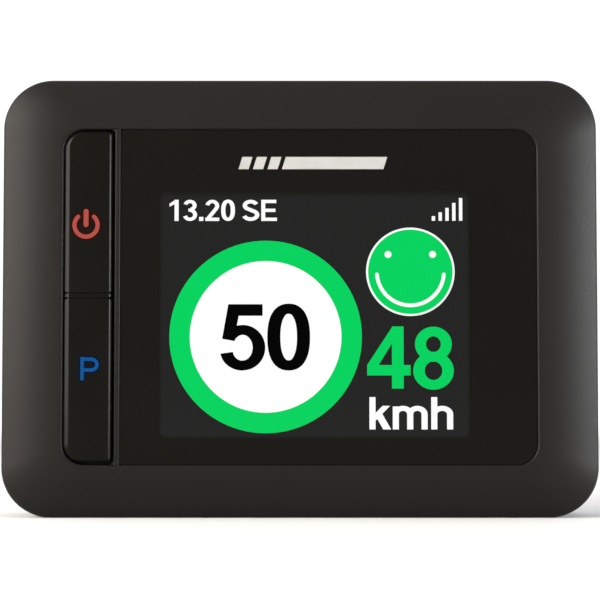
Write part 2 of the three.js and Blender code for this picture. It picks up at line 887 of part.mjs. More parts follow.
add("speaker_basket", speakerBasket(), finishes.blackSteel);
add("speaker_cone", speakerCone(), finishes.cone);
add("speaker_magnet", speakerMagnet(), finishes.steel);
const grilleInnerY = backFaceY - wall;
add(
  "speaker_gasket",
  ring(speakerX, speakerZ, 8.7, speakerRadius, [speakerFrontY, grilleInnerY]),
  finishes.foam,
);
add(
  "speaker_cloth",
  rod(speakerX, speakerZ, 8.4, [grilleInnerY - 0.2, grilleInnerY], 28),
  finishes.foam,
);
const speakerLeads = [
  ["speaker_lead_red", -6.5, finishes.redWire],
  ["speaker_lead_black", -8.2, finishes.blackWire],
];
for (const [name, z, colour] of speakerLeads) {
  const route = [
    [speakerX + speakerRadius + 0.15, 4.4, z - 1],
    [speakerX + speakerRadius + 1.4, 4.2, z - 1.2],
    [speakerX + speakerRadius + 2.2, 2.4, z - 1.6],
    [speakerX + speakerRadius + 2.2, 0.6, z - 1.8],
    [speakerX + speakerRadius + 2.2, boardBackY + 0.05, z - 1.8],
  ];
  add(name, wire(route, 0.4), colour);
}

screwPlaces.forEach(([x, z], i) => add(`case_screw_${i + 1}`, caseScrew(x, z), finishes.blackSteel));

const discTapeY = discFaceY - discThickness - discTapeThickness;
add(
  "disc_adhesive",
  rod(0, 0, discRadius - 0.4, [discTapeY, discTapeY + discTapeThickness], 40),
  finishes.foam,
);
add(
  "mounting_disc",
  turned(
    [
      [0, discFaceY - discThickness],
      [discRadius, discFaceY - discThickness],
      [discRadius, discFaceY - 0.2],
      [discRadius - 0.2, discFaceY],
      [0, discFaceY],
    ],
    0,
    0,
    48,
  ),
  finishes.steel,
);
add(
  "rating_label",
  alongY(
    cornerRect(labelX, labelZ, [0.8, 0.8, 0.8, 0.8]),
    [backFaceY - labelThickness + labelStands, backFaceY + labelStands],
    4,
  ),
  finishes.label,
);

export default device;
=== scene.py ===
"""Looks for the radar detector: shells, keys, window, display picture, back fittings and studio."""
import json
import math

import bmesh
import bpy
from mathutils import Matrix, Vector


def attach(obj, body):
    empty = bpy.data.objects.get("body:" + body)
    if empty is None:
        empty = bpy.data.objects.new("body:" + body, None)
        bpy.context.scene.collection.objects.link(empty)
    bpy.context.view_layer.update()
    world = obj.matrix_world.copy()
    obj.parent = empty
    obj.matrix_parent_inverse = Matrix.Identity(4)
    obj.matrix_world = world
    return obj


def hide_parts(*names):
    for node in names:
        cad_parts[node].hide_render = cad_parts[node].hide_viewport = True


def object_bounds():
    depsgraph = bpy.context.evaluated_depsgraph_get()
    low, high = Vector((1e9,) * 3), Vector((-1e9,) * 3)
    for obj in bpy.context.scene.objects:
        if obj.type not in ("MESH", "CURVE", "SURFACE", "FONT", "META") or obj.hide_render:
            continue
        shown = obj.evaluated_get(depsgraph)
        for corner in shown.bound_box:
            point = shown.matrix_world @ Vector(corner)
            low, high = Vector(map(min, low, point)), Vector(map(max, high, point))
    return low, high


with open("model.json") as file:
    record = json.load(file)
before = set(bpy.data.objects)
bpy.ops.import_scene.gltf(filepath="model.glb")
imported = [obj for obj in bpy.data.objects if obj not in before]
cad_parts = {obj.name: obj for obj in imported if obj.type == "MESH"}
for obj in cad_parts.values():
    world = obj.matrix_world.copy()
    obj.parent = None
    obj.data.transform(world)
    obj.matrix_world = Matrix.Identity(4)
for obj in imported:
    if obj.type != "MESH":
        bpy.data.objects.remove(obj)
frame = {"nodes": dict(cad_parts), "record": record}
cad_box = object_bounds()

MM = 0.001
HALF_HEIGHT = (cad_box[1][2] - cad_box[0][2]) / 2 / MM
HALF_WIDTH = (cad_box[1][0] - cad_box[0][0]) / 2 / MM

# ---- Sizes in millimetres, with X and Z counted from the middle of the device --------------

CASE_RADIUS = 6.5
SMALLEST_CASE_RADIUS = 0.5
WALL = 1.6
RIM_Y = -7.85
KEY_FACE_Y = -7.97
LENS_FACE_Y = -7.7
LENS_BACK_Y = -6.5
FLOOR_BACK_Y = -5.25
PARTING_Y = -2.6
SIDE_END_Y = 4.8
BACK_Y = 7.6
INNER_BACK_Y = BACK_Y - WALL

OPENING_HALF_WIDTH = 30.68
OPENING_HALF_HEIGHT = 21.74
OPENING_RADIUS = 2.7
RIM_SOFTNESS = 0.42
RIB_X = (-24.06, -23.33)
RIB_ROUNDING = 0.22
RIB_CORNER_RADIUS = 0.02
RIB_END_REACH = 0.1
WELL_CORNER_RADIUS = 0.65
WELL_CORNER_BITE = 0.05
WELL_CORNER_SLOPE = 0.45
WELL_CORNER_Y = RIM_Y + 0.02
LIP_THICKNESS = 0.4
LIP_CLEARANCE = 0.5
EDGE_ROUNDING = 0.9
DOME_INNER_SLOPE = math.radians(3)
DOME_OUTER_SLOPE = math.radians(30)
SEAM_CHAMFER = 0.2

# The lit part of the display, and how far it fades at its left, right, low and high edges.
SCREEN_X = (-18.03, 21.82)
SCREEN_Z = (-18.15, 13.27)
SCREEN_FADES = (0.5, 0.4, 0.5, 1.1)
SCREEN_RADIUS = 1.4

CORNER_STEPS = 20
BLOCK_FACE_RADIUS = 0.01
SHARP_DEGREES = 32
# The thickness of a printed or lit shape, and the length under which a cut's leftover edges are merged.
FILM_THICKNESS = 0.006
SMALLEST_EDGE = 0.0005


def device(x, y, z):
    """A point given in millimetres from the device's middle, as a point of the row frame in metres."""
    return (x * MM, y * MM, (z + HALF_HEIGHT) * MM)


# ---- Materials -----------------------------------------------------------------------------

LENS_IOR = 1.1
UNLIT_COLOR = (0.0006, 0.0006, 0.0006)
NOISE_MIDDLE = (0.3, 0.7)
# The wave texture's period at a scale of 1.
WAVE_PERIOD = 0.314
# Painted shade: the gaps between a cloth's threads are darkened to this share of the thread colour.
THREAD_GAP_PAINTED_SHADE = 0.35
METAL_PATCH_SHADE = 0.85


def new_material(name):
    material = bpy.data.materials.new(name)
    material.use_nodes = True
    nodes = material.node_tree.nodes
    return material, nodes, material.node_tree.links, nodes["Principled BSDF"]


def noise_node(nodes, links, size_mm, detail=3.0, stretch=(1, 1, 1)):
    """Noise whose features are about size_mm across, in the object's own space."""
    coordinates = nodes.new("ShaderNodeTexCoord")
    mapping = nodes.new("ShaderNodeMapping")
    mapping.inputs["Scale"].default_value = stretch
    noise = nodes.new("ShaderNodeTexNoise")
    noise.inputs["Scale"].default_value = 1 / (size_mm * MM)
    noise.inputs["Detail"].default_value = detail
    links.new(coordinates.outputs["Object"], mapping.inputs["Vector"])
    links.new(mapping.outputs["Vector"], noise.inputs["Vector"])
    return noise


def map_range(nodes, links, source, start, end, low, high, kind="SMOOTHSTEP"):
    """Maps a value that goes from start to end onto low to high."""
    ranged = nodes.new("ShaderNodeMapRange")
    ranged.interpolation_type = kind
    ranged.inputs["From Min"].default_value = start
    ranged.inputs["From Max"].default_value = end
    ranged.inputs["To Min"].default_value = low
    ranged.inputs["To Max"].default_value = high
    links.new(source, ranged.inputs["Value"])
    return ranged.outputs["Result"]


def spread(nodes, links, source, low, high):
    """Maps the middle of a noise's range onto low to high."""
    return map_range(nodes, links, source, *NOISE_MIDDLE, low, high, "LINEAR")


def multiply(nodes, links, first, second):
    product = nodes.new("ShaderNodeMath")
    product.operation = "MULTIPLY"
    links.new(first, product.inputs[0])
    links.new(second, product.inputs[1])
    return product.outputs["Value"]


def blend(nodes, links, source, first, second, socket):
    """Feeds a socket with a colour that goes from first to second."""
    mix = nodes.new("ShaderNodeMix")
    mix.data_type = "RGBA"
    mix.inputs["A"].default_value = (*first, 1)
    mix.inputs["B"].default_value = (*second, 1)
    links.new(source, mix.inputs["Factor"])
    links.new(mix.outputs["Result"], socket)


def add_bump(nodes, links, source, depth_mm, shader):
    bump = nodes.new("ShaderNodeBump")
    bump.inputs["Strength"].default_value = 1
    bump.inputs["Distance"].default_value = depth_mm * MM
    links.new(source, bump.inputs["Height"])
    links.new(bump.outputs["Normal"], shader.inputs["Normal"])


def surface(
    name, color, roughness, roughness_spread=0.06, tint=0.12, patch_mm=6.0,
    grain_mm=0.12, bump_mm=0.01, stretch=(1, 1, 1), **sockets,
):
    """A procedural finish: patchy colour, fine grain in the bump, and uneven roughness."""
    material, nodes, links, shader = new_material(name)
    patches = noise_node(nodes, links, patch_mm, 4.0)
    dark = [c * (1 - tint) for c in color]
    pale = [min(c * (1 + tint), 1) for c in color]
    blend(nodes, links, patches.outputs["Fac"], dark, pale, shader.inputs["Base Color"])
    grain = noise_node(nodes, links, grain_mm, 2.0, stretch)
    if roughness_spread:
        low, high = roughness - roughness_spread, roughness + roughness_spread
        links.new(spread(nodes, links, grain.outputs["Fac"], low, high), shader.inputs["Roughness"])
    else:
        shader.inputs["Roughness"].default_value = roughness
    if bump_mm:
        add_bump(nodes, links, grain.outputs["Fac"], bump_mm, shader)
    for socket, value in sockets.items():
        shader.inputs[socket.replace("_", " ")].default_value = value
    return material


def woven(name, color, pitch_mm, depth_mm, roughness):
    """Cloth: two crossing sets of threads in the bump, and painted shade in the colour of the gaps
    between them.
    """
    material, nodes, links, shader = new_material(name)
    coordinates = nodes.new("ShaderNodeTexCoord")
    waves = []
    for direction in ("X", "Z"):
        wave = nodes.new("ShaderNodeTexWave")
        wave.bands_direction = direction
        wave.inputs["Scale"].default_value = WAVE_PERIOD / (pitch_mm * MM)
        wave.inputs["Distortion"].default_value = 0.4
        links.new(coordinates.outputs["Object"], wave.inputs["Vector"])
        waves.append(wave.outputs["Fac"])
    threads = multiply(nodes, links, *waves)
    # Painted shade: the colour is darkened in the gaps between the threads.
    dark = [c * THREAD_GAP_PAINTED_SHADE for c in color]
    blend(nodes, links, threads, dark, color, shader.inputs["Base Color"])
    add_bump(nodes, links, threads, depth_mm, shader)
    shader.inputs["Roughness"].default_value = roughness
    return material


def spun_metal(name, color, roughness, groove_mm):
    """Metal turned on a lathe about Y: fine rings in the bump, with brushed streaks in the roughness."""
    material, nodes, links, shader = new_material(name)
    coordinates = nodes.new("ShaderNodeTexCoord")
    mapping = nodes.new("ShaderNodeMapping")
    mapping.inputs["Location"].default_value = (0, 0, -HALF_HEIGHT * MM)
    wave = nodes.new("ShaderNodeTexWave")
    wave.wave_type = "RINGS"
    wave.rings_direction = "Y"
    wave.inputs["Scale"].default_value = WAVE_PERIOD / (groove_mm * MM)
    wave.inputs["Distortion"].default_value = 0.6
    wave.inputs["Detail"].default_value = 3
    links.new(coordinates.outputs["Object"], mapping.inputs["Vector"])
    links.new(mapping.outputs["Vector"], wave.inputs["Vector"])
    uneven = spread(nodes, links, wave.outputs["Fac"], roughness - 0.05, roughness + 0.1)
    links.new(uneven, shader.inputs["Roughness"])
    patches = noise_node(nodes, links, 5.0)
    dark = [c * METAL_PATCH_SHADE for c in color]
    blend(nodes, links, patches.outputs["Fac"], dark, color, shader.inputs["Base Color"])
    add_bump(nodes, links, wave.outputs["Fac"], 0.004, shader)
    shader.inputs["Metallic"].default_value = 1
    return material


def lit(name, color, ior=LENS_IOR):
    """Part of the display's picture: light behind the same hard, glossy front as the window."""
    material, nodes, links, shader = new_material(name)
    shader.inputs["Base Color"].default_value = (*UNLIT_COLOR, 1)
    shader.inputs["IOR"].default_value = ior
    shader.inputs["Emission Color"].default_value = (*color, 1)
    shader.inputs["Emission Strength"].default_value = 1
    smears = noise_node(nodes, links, 3.0, 5.0)
    links.new(spread(nodes, links, smears.outputs["Fac"], 0.04, 0.1), shader.inputs["Roughness"])
    return material


def faded_screen(name, color, edge_color, x, z, fades):
    """The screen's dark glow, which turns to edge_color at its left, right, low and high edges."""
    material = lit(name, color)
    nodes, links = material.node_tree.nodes, material.node_tree.links
    coordinates = nodes.new("ShaderNodeTexCoord")
    split = nodes.new("ShaderNodeSeparateXYZ")
    links.new(coordinates.outputs["Object"], split.inputs["Vector"])
    # Object space counts Z from the base.
    low, high = [edge + HALF_HEIGHT for edge in z]
    edges = [("X", x[0], -1), ("X", x[1], 1), ("Z", low, -1), ("Z", high, 1)]
    shares = []
    for (axis, place, outwards), fade in zip(edges, fades):
        half = outwards * fade / 2
        ends = ((place + half) * MM, (place - half) * MM)
        shares.append(map_range(nodes, links, split.outputs[axis], *ends, 0, 1))
    share = shares[0]
    for other in shares[1:]:
        share = multiply(nodes, links, share, other)
    blend(nodes, links, share, edge_color, color, nodes["Principled BSDF"].inputs["Emission Color"])
    return material


GREEN = (0.0001, 0.652, 0.115)
WHITE = (1.0, 1.0, 1.0)

case_finish = surface(
    "case_soft_touch", (0.0069, 0.0063, 0.0055), 0.46,
    roughness_spread=0.07, grain_mm=0.16, bump_mm=0.012, patch_mm=9, IOR=1.2,
)
key_finish = surface(
    "key_satin", (0.0034, 0.0031, 0.0024), 0.25, grain_mm=0.14, bump_mm=0.005, patch_mm=5, IOR=1.15,
)
lens_finish = surface(
    "window_gloss", (0.0045, 0.0043, 0.0037), 0.07,
    roughness_spread=0.03, grain_mm=4.0, bump_mm=0, patch_mm=12, IOR=LENS_IOR,
)
dark_screen = faded_screen(
    "screen_black", (0.0165, 0.0168, 0.016), (0.0102, 0.0097, 0.0079), SCREEN_X, SCREEN_Z, SCREEN_FADES
)
green_light = lit("screen_green", GREEN)
white_light = lit("screen_white", WHITE)
black_ink = lit("screen_digit_black", (0.0002, 0.0002, 0.0002), ior=1.05)
mark_ink = surface("mark_print", (0.29, 0.287, 0.278), 0.4, grain_mm=0.1, bump_mm=0.002, patch_mm=2)
red_symbol = lit("key_symbol_red", (0.47, 0.082, 0.066))
blue_symbol = lit("key_symbol_blue", (0.006, 0.092, 0.31))
red_glow = lit("key_glow_red", (0.028, 0.004, 0.002))
blue_glow = lit("key_glow_blue", (0.0002, 0.008, 0.03))

SLOT_FINISHES = {
    "foam": surface("foam", (0.02, 0.02, 0.02), 0.9, grain_mm=0.25, bump_mm=0.08),
    "lcd_glass": surface("lcd_glass", (0.02, 0.023, 0.026), 0.12, grain_mm=3, bump_mm=0, patch_mm=10),
    "white_plastic": surface("backlight_tray", (0.72, 0.72, 0.69), 0.5, tint=0.05),
    "flex": surface("flex_film", (0.42, 0.2, 0.04), 0.3, grain_mm=0.3, stretch=(0.2, 1, 4)),
    "board": surface("solder_mask", (0.012, 0.13, 0.035), 0.35, tint=0.35, patch_mm=1.5, grain_mm=0.4),
    "chip": surface("chip_epoxy", (0.018, 0.018, 0.02), 0.55, grain_mm=0.08),
    "connector": surface("connector_nylon", (0.76, 0.7, 0.55), 0.5, tint=0.06),
    "antenna_ceramic": surface("antenna_ceramic", (0.5, 0.39, 0.27), 0.75, grain_mm=0.15, bump_mm=0.02),
    "tin": surface(
        "tin_plate", (0.42, 0.43, 0.44), 0.4, tint=0.08, grain_mm=0.1, bump_mm=0.004, Metallic=1
    ),
    "steel": surface("bare_steel", (0.55, 0.56, 0.57), 0.35, tint=0.1, grain_mm=0.1, Metallic=1),
    "black_steel": surface("black_zinc", (0.035, 0.035, 0.038), 0.35, grain_mm=0.1, Metallic=0.8),
    "battery_foil": surface(
        "pouch_foil", (0.62, 0.63, 0.65), 0.3, grain_mm=1.2, bump_mm=0.06, Metallic=1
    ),
    "wire_red": surface("wire_red", (0.5, 0.02, 0.02), 0.45, grain_mm=0.3),
    "wire_black": surface("wire_black", (0.012, 0.012, 0.012), 0.45, grain_mm=0.3),
    "cone": surface("cone_paper", (0.03, 0.026, 0.022), 0.85, grain_mm=0.2, bump_mm=0.05),
    "label": surface("label_film", (0.36, 0.37, 0.39), 0.42, tint=0.05, grain_mm=0.2, bump_mm=0.004),
    "led_red": surface("led_red", (0.7, 0.06, 0.04), 0.2, grain_mm=0.4, bump_mm=0),
    "led_blue": surface("led_blue", (0.03, 0.15, 0.6), 0.2, grain_mm=0.4, bump_mm=0),
    "case_plastic": case_finish,
    "key_plastic": key_finish,
    "lens": lens_finish,
}
speaker_cloth = woven("speaker_cloth", (0.05, 0.05, 0.052), 0.35, 0.08, 0.8)
disc_finish = spun_metal("spun_steel", (0.58, 0.59, 0.6), 0.3, 0.25)


# ---- Mesh making ---------------------------------------------------------------------------


def rectangle_ring(x, z, radii, y, steps=CORNER_STEPS):
    """Points of a rounded rectangle; radii are low-left, low-right, high-right, high-left."""
    points = []
    for corner, radius in enumerate(radii):
        middle_x = x[0] + radius if corner in (0, 3) else x[1] - radius
        middle_z = z[0] + radius if corner < 2 else z[1] - radius
        for i in range(steps + 1):
            angle = (2 + corner + i / steps) * math.pi / 2
            points.append((middle_x + radius * math.cos(angle), y, middle_z + radius * math.sin(angle)))
    return points


def inset_ring(x, z, inset, radii, y, steps=CORNER_STEPS):
    """A rounded rectangle whose sides are moved inwards, or outwards by a negative inset."""
    inner_x = (x[0] + inset, x[1] - inset)
    inner_z = (z[0] + inset, z[1] - inset)
    return rectangle_ring(inner_x, inner_z, radii, y, steps)


def circle_ring(x, z, radius, y, steps):
    """Points of a circle about a line along Y, in the same turning sense as rectangle_ring."""
    angles = [2 * math.pi * i / steps for i in range(steps)]
    return [(x + radius * math.cos(a), y, z + radius * math.sin(a)) for a in angles]


class Shells:
    """Closed surfaces gathered into one mesh."""

    def __init__(self):
        self.points = []
        self.faces = []

    def loft(self, rings, loop=False):
        """Skins rings given front to back. A loop closes on itself, and other lofts get flat ends."""
        start = len(self.points)
        count = len(rings[0])
        for ring in rings:
            self.points.extend(ring)
        spans = len(rings) if loop else len(rings) - 1
        for k in range(spans):
            here = start + k * count
            there = start + (k + 1) % len(rings) * count
            for i in range(count):
                j = (i + 1) % count
                self.faces.append((here + i, there + i, there + j, here + j))
        if not loop:
            last = start + (len(rings) - 1) * count
            self.faces.append(tuple(range(start, start + count)))
            self.faces.append(tuple(reversed(range(last, last + count))))
        return self

    def turned(self, x, z, profile, steps=48, loop=False):
        """A turned surface about a line along Y, from (radius, y) pairs given front to back."""
        return self.loft([circle_ring(x, z, r, y, steps) for r, y in profile], loop)

    def block(self, x, y, z, rounding=0.1):
        """A block with softened edges round its front and back."""
        levels = [
            (rounding, BLOCK_FACE_RADIUS, y[0]),
            (0, rounding, y[0] + rounding),
            (0, rounding, y[1] - rounding),
            (rounding, BLOCK_FACE_RADIUS, y[1]),
        ]
        rings = [inset_ring(x, z, inset, [radius] * 4, depth, 4) for inset, radius, depth in levels]
        return self.loft(rings)

    def film(self, outline, y, front, edges):
        """A thin film: its front faces, their copies behind, and walls along its outer edges."""
        start = len(self.points)
        count = len(outline)
        for depth in (0, FILM_THICKNESS):
            self.points.extend((x, y + depth, z) for x, z in outline)
        for face in front:
            self.faces.append(tuple(start + i for i in face))
            self.faces.append(tuple(start + count + i for i in reversed(face)))
        for i, j in edges:
            self.faces.append((start + j, start + i, start + count + i, start + count + j))
        return self

    def flat(self, outline, y):
        """A film looking forwards, from (x, z) pairs given anticlockwise as seen from the front."""
        count = len(outline)
        edges = [(i, (i + 1) % count) for i in range(count)]
        return self.film(outline, y, [tuple(range(count))], edges)

    def strip(self, left, right, y, closed=False):
        """A ribbon of film looking forwards between two lines of (x, z) pairs."""
        count = len(left)
        steps = [(i, (i + 1) % count) for i in range(count if closed else count - 1)]
        front = [(i, count + i, count + j, j) for i, j in steps]
        edges = [(j, i) for i, j in steps] + [(count + i, count + j) for i, j in steps]
        if not closed:
            edges += [(0, count), (2 * count - 1, count - 1)]
        return self.film([*left, *right], y, front, edges)

    def mesh(self, name):
        mesh = bpy.data.meshes.new(name)
        mesh.from_pydata([device(*p) for p in self.points], [], self.faces)
        mesh.validate()
        return mesh


def piece(name, mesh, material, body, replaces=()):
    """Puts a mesh in the scene as a visible piece of the device."""
    mesh.shade_smooth()
    mesh.set_sharp_from_angle(angle=math.radians(SHARP_DEGREES))
    mesh.materials.append(material)
    made = bpy.data.objects.new(name, mesh)
    bpy.context.scene.collection.objects.link(made)
    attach(made, body)
    if replaces:
        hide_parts(*replaces)


def carved(name, base, cutters):
    """The base mesh with the cutters taken out of it."""
    scene = bpy.context.scene
    target = bpy.data.objects.new(name, base)
    tool = bpy.data.objects.new(name + "_cutter", cutters)
    for made in (target, tool):
        scene.collection.objects.link(made)
    modifier = target.modifiers.new("cut", "BOOLEAN")
    modifier.operation = "DIFFERENCE"
    modifier.solver = "EXACT"
    modifier.object = tool
    graph = bpy.context.evaluated_depsgraph_get()
    result = bpy.data.meshes.new_from_object(target.evaluated_get(graph))
    cleaned = bmesh.new()
    cleaned.from_mesh(result)
    bmesh.ops.remove_doubles(cleaned, verts=cleaned.verts, dist=SMALLEST_EDGE * MM)
    bmesh.ops.dissolve_degenerate(cleaned, edges=cleaned.edges, dist=SMALLEST_EDGE * MM)
    cleaned.to_mesh(result)
    cleaned.free()
    for made in (target, tool):
        bpy.data.objects.remove(made)
    return result


def steps_between(low, high, count):
    """The ends of count equal steps from low to high."""
    return [low + (high - low) * i / count for i in range(count + 1)]


# ---- Front bezel ---------------------------------------------------------------------------

BAND = HALF_WIDTH - OPENING_HALF_WIDTH
DOME_START = EDGE_ROUNDING * (1 - math.sin(DOME_OUTER_SLOPE))
DOME_RADIUS = (BAND - DOME_START) / (math.sin(DOME_OUTER_SLOPE) - math.sin(DOME_INNER_SLOPE))


def case_ring(inset, y):
    """The case's outline, moved inwards."""
    radius = max(CASE_RADIUS - inset, SMALLEST_CASE_RADIUS)
    half_x, half_z = HALF_WIDTH - inset, HALF_HEIGHT - inset
    return rectangle_ring((-half_x, half_x), (-half_z, half_z), [radius] * 4, y)


def band_ring(inset, y):
    """A ring between the case's outline and the opening's."""
    share = inset / BAND
    half_x = HALF_WIDTH - inset
    half_z = HALF_HEIGHT - share * (HALF_HEIGHT - OPENING_HALF_HEIGHT)
    radius = CASE_RADIUS - share * (CASE_RADIUS - OPENING_RADIUS)
    return rectangle_ring((-half_x, half_x), (-half_z, half_z), [radius] * 4, y)


def dome_point(slope, depth=0.0):
    """(inset, y) on the dome at a slope, moved inwards along its normal."""
    along = DOME_RADIUS * (math.sin(slope) - math.sin(DOME_INNER_SLOPE))
    drop = DOME_RADIUS * (math.cos(DOME_INNER_SLOPE) - math.cos(slope))
    return (BAND - along + depth * math.sin(slope), RIM_Y + drop + depth * math.cos(slope))


def well_corner(side):
    """Rings of the fillet where the rib meets the opening's upper (1) or lower (-1) edge."""
    corner = Vector((RIB_X[0] + WELL_CORNER_BITE, side * (OPENING_HALF_HEIGHT + WELL_CORNER_BITE)))
    radius = WELL_CORNER_RADIUS
    middle = (RIB_X[0] - radius, side * (OPENING_HALF_HEIGHT - radius))
    angles = (90, 0) if side > 0 else (0, -90)
    curve = arc(*middle, radius, radius, *angles, 8)
    outline = [corner, *(Vector(point) for point in curve)]
    levels = []
    for angle in steps_between(0, math.pi / 2, 4):
        size = 1 - WELL_CORNER_SLOPE * (1 - math.sin(angle))
        levels.append((size, WELL_CORNER_Y + RIM_SOFTNESS * (1 - math.cos(angle))))
    levels.append((1, FLOOR_BACK_Y))
    rings = []
    for size, y in levels:
        shrunk = [corner + (point - corner) * size for point in outline]
        rings.append([(x, y, z) for x, z in shrunk])
    return rings


def make_bezel():
    rings = [band_ring(BAND, FLOOR_BACK_Y), band_ring(BAND, RIM_Y + RIM_SOFTNESS)]
    for angle in steps_between(0, math.pi / 2, 5)[1:]:
        inset = BAND - RIM_SOFTNESS * (1 - math.cos(angle))
        rings.append(band_ring(inset, RIM_Y + RIM_SOFTNESS * (1 - math.sin(angle))))
    for slope in steps_between(DOME_INNER_SLOPE, DOME_OUTER_SLOPE, 22)[1:]:
        rings.append(band_ring(*dome_point(slope)))
    rounding_y = dome_point(DOME_OUTER_SLOPE)[1] + EDGE_ROUNDING * math.cos(DOME_OUTER_SLOPE)
    for slope in steps_between(DOME_OUTER_SLOPE, math.pi / 2, 10)[1:]:
        inset = EDGE_ROUNDING * (1 - math.sin(slope))
        rings.append(band_ring(inset, rounding_y - EDGE_ROUNDING * math.cos(slope)))
    rings.append(case_ring(0, PARTING_Y - SEAM_CHAMFER))
    rings.append(case_ring(SEAM_CHAMFER, PARTING_Y))
    rings.append(case_ring(WALL, PARTING_Y))
    inner = [dome_point(slope, WALL) for slope in steps_between(DOME_INNER_SLOPE, DOME_OUTER_SLOPE, 6)]
    for inset, y in reversed([p for p in inner if WALL < p[0] < BAND - LIP_CLEARANCE]):
        rings.append(band_ring(inset, y))
    rings.append(band_ring(BAND - LIP_THICKNESS, FLOOR_BACK_Y))
    shells = Shells().loft(rings, loop=True)
    rib_z = (-OPENING_HALF_HEIGHT - RIB_END_REACH, OPENING_HALF_HEIGHT + RIB_END_REACH)
    sharp = [RIB_CORNER_RADIUS] * 4
    rib = []
    for angle in steps_between(0, math.pi / 2, 5):
        inset = RIB_ROUNDING * (1 - math.sin(angle))
        rib_x = (RIB_X[0] + inset, RIB_X[1] - inset)
        y = RIM_Y + RIB_ROUNDING * (1 - math.cos(angle))
        rib.append(rectangle_ring(rib_x, rib_z, sharp, y, 2))
    rib.append(rectangle_ring(RIB_X, rib_z, sharp, FLOOR_BACK_Y, 2))
    shells.loft(rib)
    for side in (-1, 1):
        shells.loft(well_corner(side))
    mesh = shells.mesh("bezel_shell")
    piece("bezel_shell", mesh, case_finish, "case", ["front_bezel"])


# ---- Keys and the bridge between them ------------------------------------------------------

KEY_X = (-30.59, -24.36)
KEY_TOP_Z = 21.58
KEY_BOTTOM_Z = -21.44
KEY_BACK_Y = -5.0
KEY_SPLIT_GAP = 0.03
KEY_LEFT_BEVEL = 0.71
KEY_RIGHT_BEVEL = 0.38
KEY_TOP_BEVEL = 0.26
KEY_BOTTOM_BEVEL = 0.46
KEY_SPLIT_BEVEL = 0.03
# Corner radii: at the opening's rounded corners, beside the rib, and at the split.
FAR_RADIUS = 2.4
NEAR_RADIUS = 0.55
SPLIT_RADIUS = 0.32
SMALLEST_KEY_RADIUS = 0.03
BRIDGE_Z = (-0.19, 0.45)
BRIDGE_RADIUS = 0.3
BRIDGE_BACK_Y = -4.5
FLANGE_X = (KEY_X[0] - 0.2, KEY_X[1] + 0.6)
FLANGE_Y = (-5.1, -4.5)
POWER_FLANGE_Z = (1.3, 20.5)
PROGRAM_FLANGE_Z = (-20.5, -0.6)
POST_X = -27.28
POST_RADIUS = 1.2
POST_Y = (-5.2, -4.55)
POWER_POST_Z = 13.77
PROGRAM_POST_Z = -13.52

# The bevel round a key's face, as (share of the bevel's width, depth) from the face backwards.
BEVEL_PROFILE = [(1, 0), (0.93, 0.01), (0.86, 0.035), (0.1, 0.315), (0.03, 0.37), (0, 0.46)]


def bevelled(x, z, bevels, radii, back_y):
    """Rings of a block whose face has bevels of its own width on the left, right, low and high sides."""
    left, right, low, high = bevels
    corners = [(left + low) / 2, (right + low) / 2, (right + high) / 2, (left + high) / 2]
    rings = []
    for share, depth in BEVEL_PROFILE:
        face_x = (x[0] + left * share, x[1] - right * share)
        face_z = (z[0] + low * share, z[1] - high * share)
        face_radii = [max(r - corner * share, SMALLEST_KEY_RADIUS) for r, corner in zip(radii, corners)]
        rings.append(rectangle_ring(face_x, face_z, face_radii, KEY_FACE_Y + depth))
    rings.append(rectangle_ring(x, z, radii, back_y))
    return rings


def key_mesh(name, z, end_bevels, radii, flange_z, post_z):
    """A key's cap with the flange that holds it behind the opening and the post over its switch."""
    bevels = (KEY_LEFT_BEVEL, KEY_RIGHT_BEVEL, *end_bevels)
    shells = Shells().loft(bevelled(KEY_X, z, bevels, radii, KEY_BACK_Y))
    shells.block(FLANGE_X, FLANGE_Y, flange_z)
    shells.turned(POST_X, post_z, [(POST_RADIUS, y) for y in POST_Y], 24)
    return shells.mesh(name)


def make_keys():
    upper_z = (BRIDGE_Z[1] + KEY_SPLIT_GAP, KEY_TOP_Z)
    lower_z = (KEY_BOTTOM_Z, BRIDGE_Z[0] - KEY_SPLIT_GAP)
    upper_ends = (KEY_SPLIT_BEVEL, KEY_TOP_BEVEL)
    lower_ends = (KEY_BOTTOM_BEVEL, KEY_SPLIT_BEVEL)
    upper_radii = [SPLIT_RADIUS, SPLIT_RADIUS, NEAR_RADIUS, FAR_RADIUS]
    lower_radii = [FAR_RADIUS, NEAR_RADIUS, SPLIT_RADIUS, SPLIT_RADIUS]
    upper_back = (POWER_FLANGE_Z, POWER_POST_Z)
    lower_back = (PROGRAM_FLANGE_Z, PROGRAM_POST_Z)
    upper = key_mesh("power_key_cap", upper_z, upper_ends, upper_radii, *upper_back)
    lower = key_mesh("program_key_cap", lower_z, lower_ends, lower_radii, *lower_back)
    piece("power_key_cap", upper, key_finish, "power_key", ["power_button"])
    piece("program_key_cap", lower, key_finish, "program_key", ["program_button"])
    bevels = (KEY_LEFT_BEVEL, KEY_RIGHT_BEVEL, KEY_SPLIT_BEVEL, KEY_SPLIT_BEVEL)
    rings = bevelled(KEY_X, BRIDGE_Z, bevels, [BRIDGE_RADIUS] * 4, BRIDGE_BACK_Y)
    bridge = Shells().loft(rings).mesh("key_bridge")
    piece("key_bridge", bridge, key_finish, "case", ["button_bridge"])


# ---- Window --------------------------------------------------------------------------------

WINDOW_GAP = 0.02
WINDOW_EDGE = 0.03
WINDOW_RIB_RADIUS = 0.4


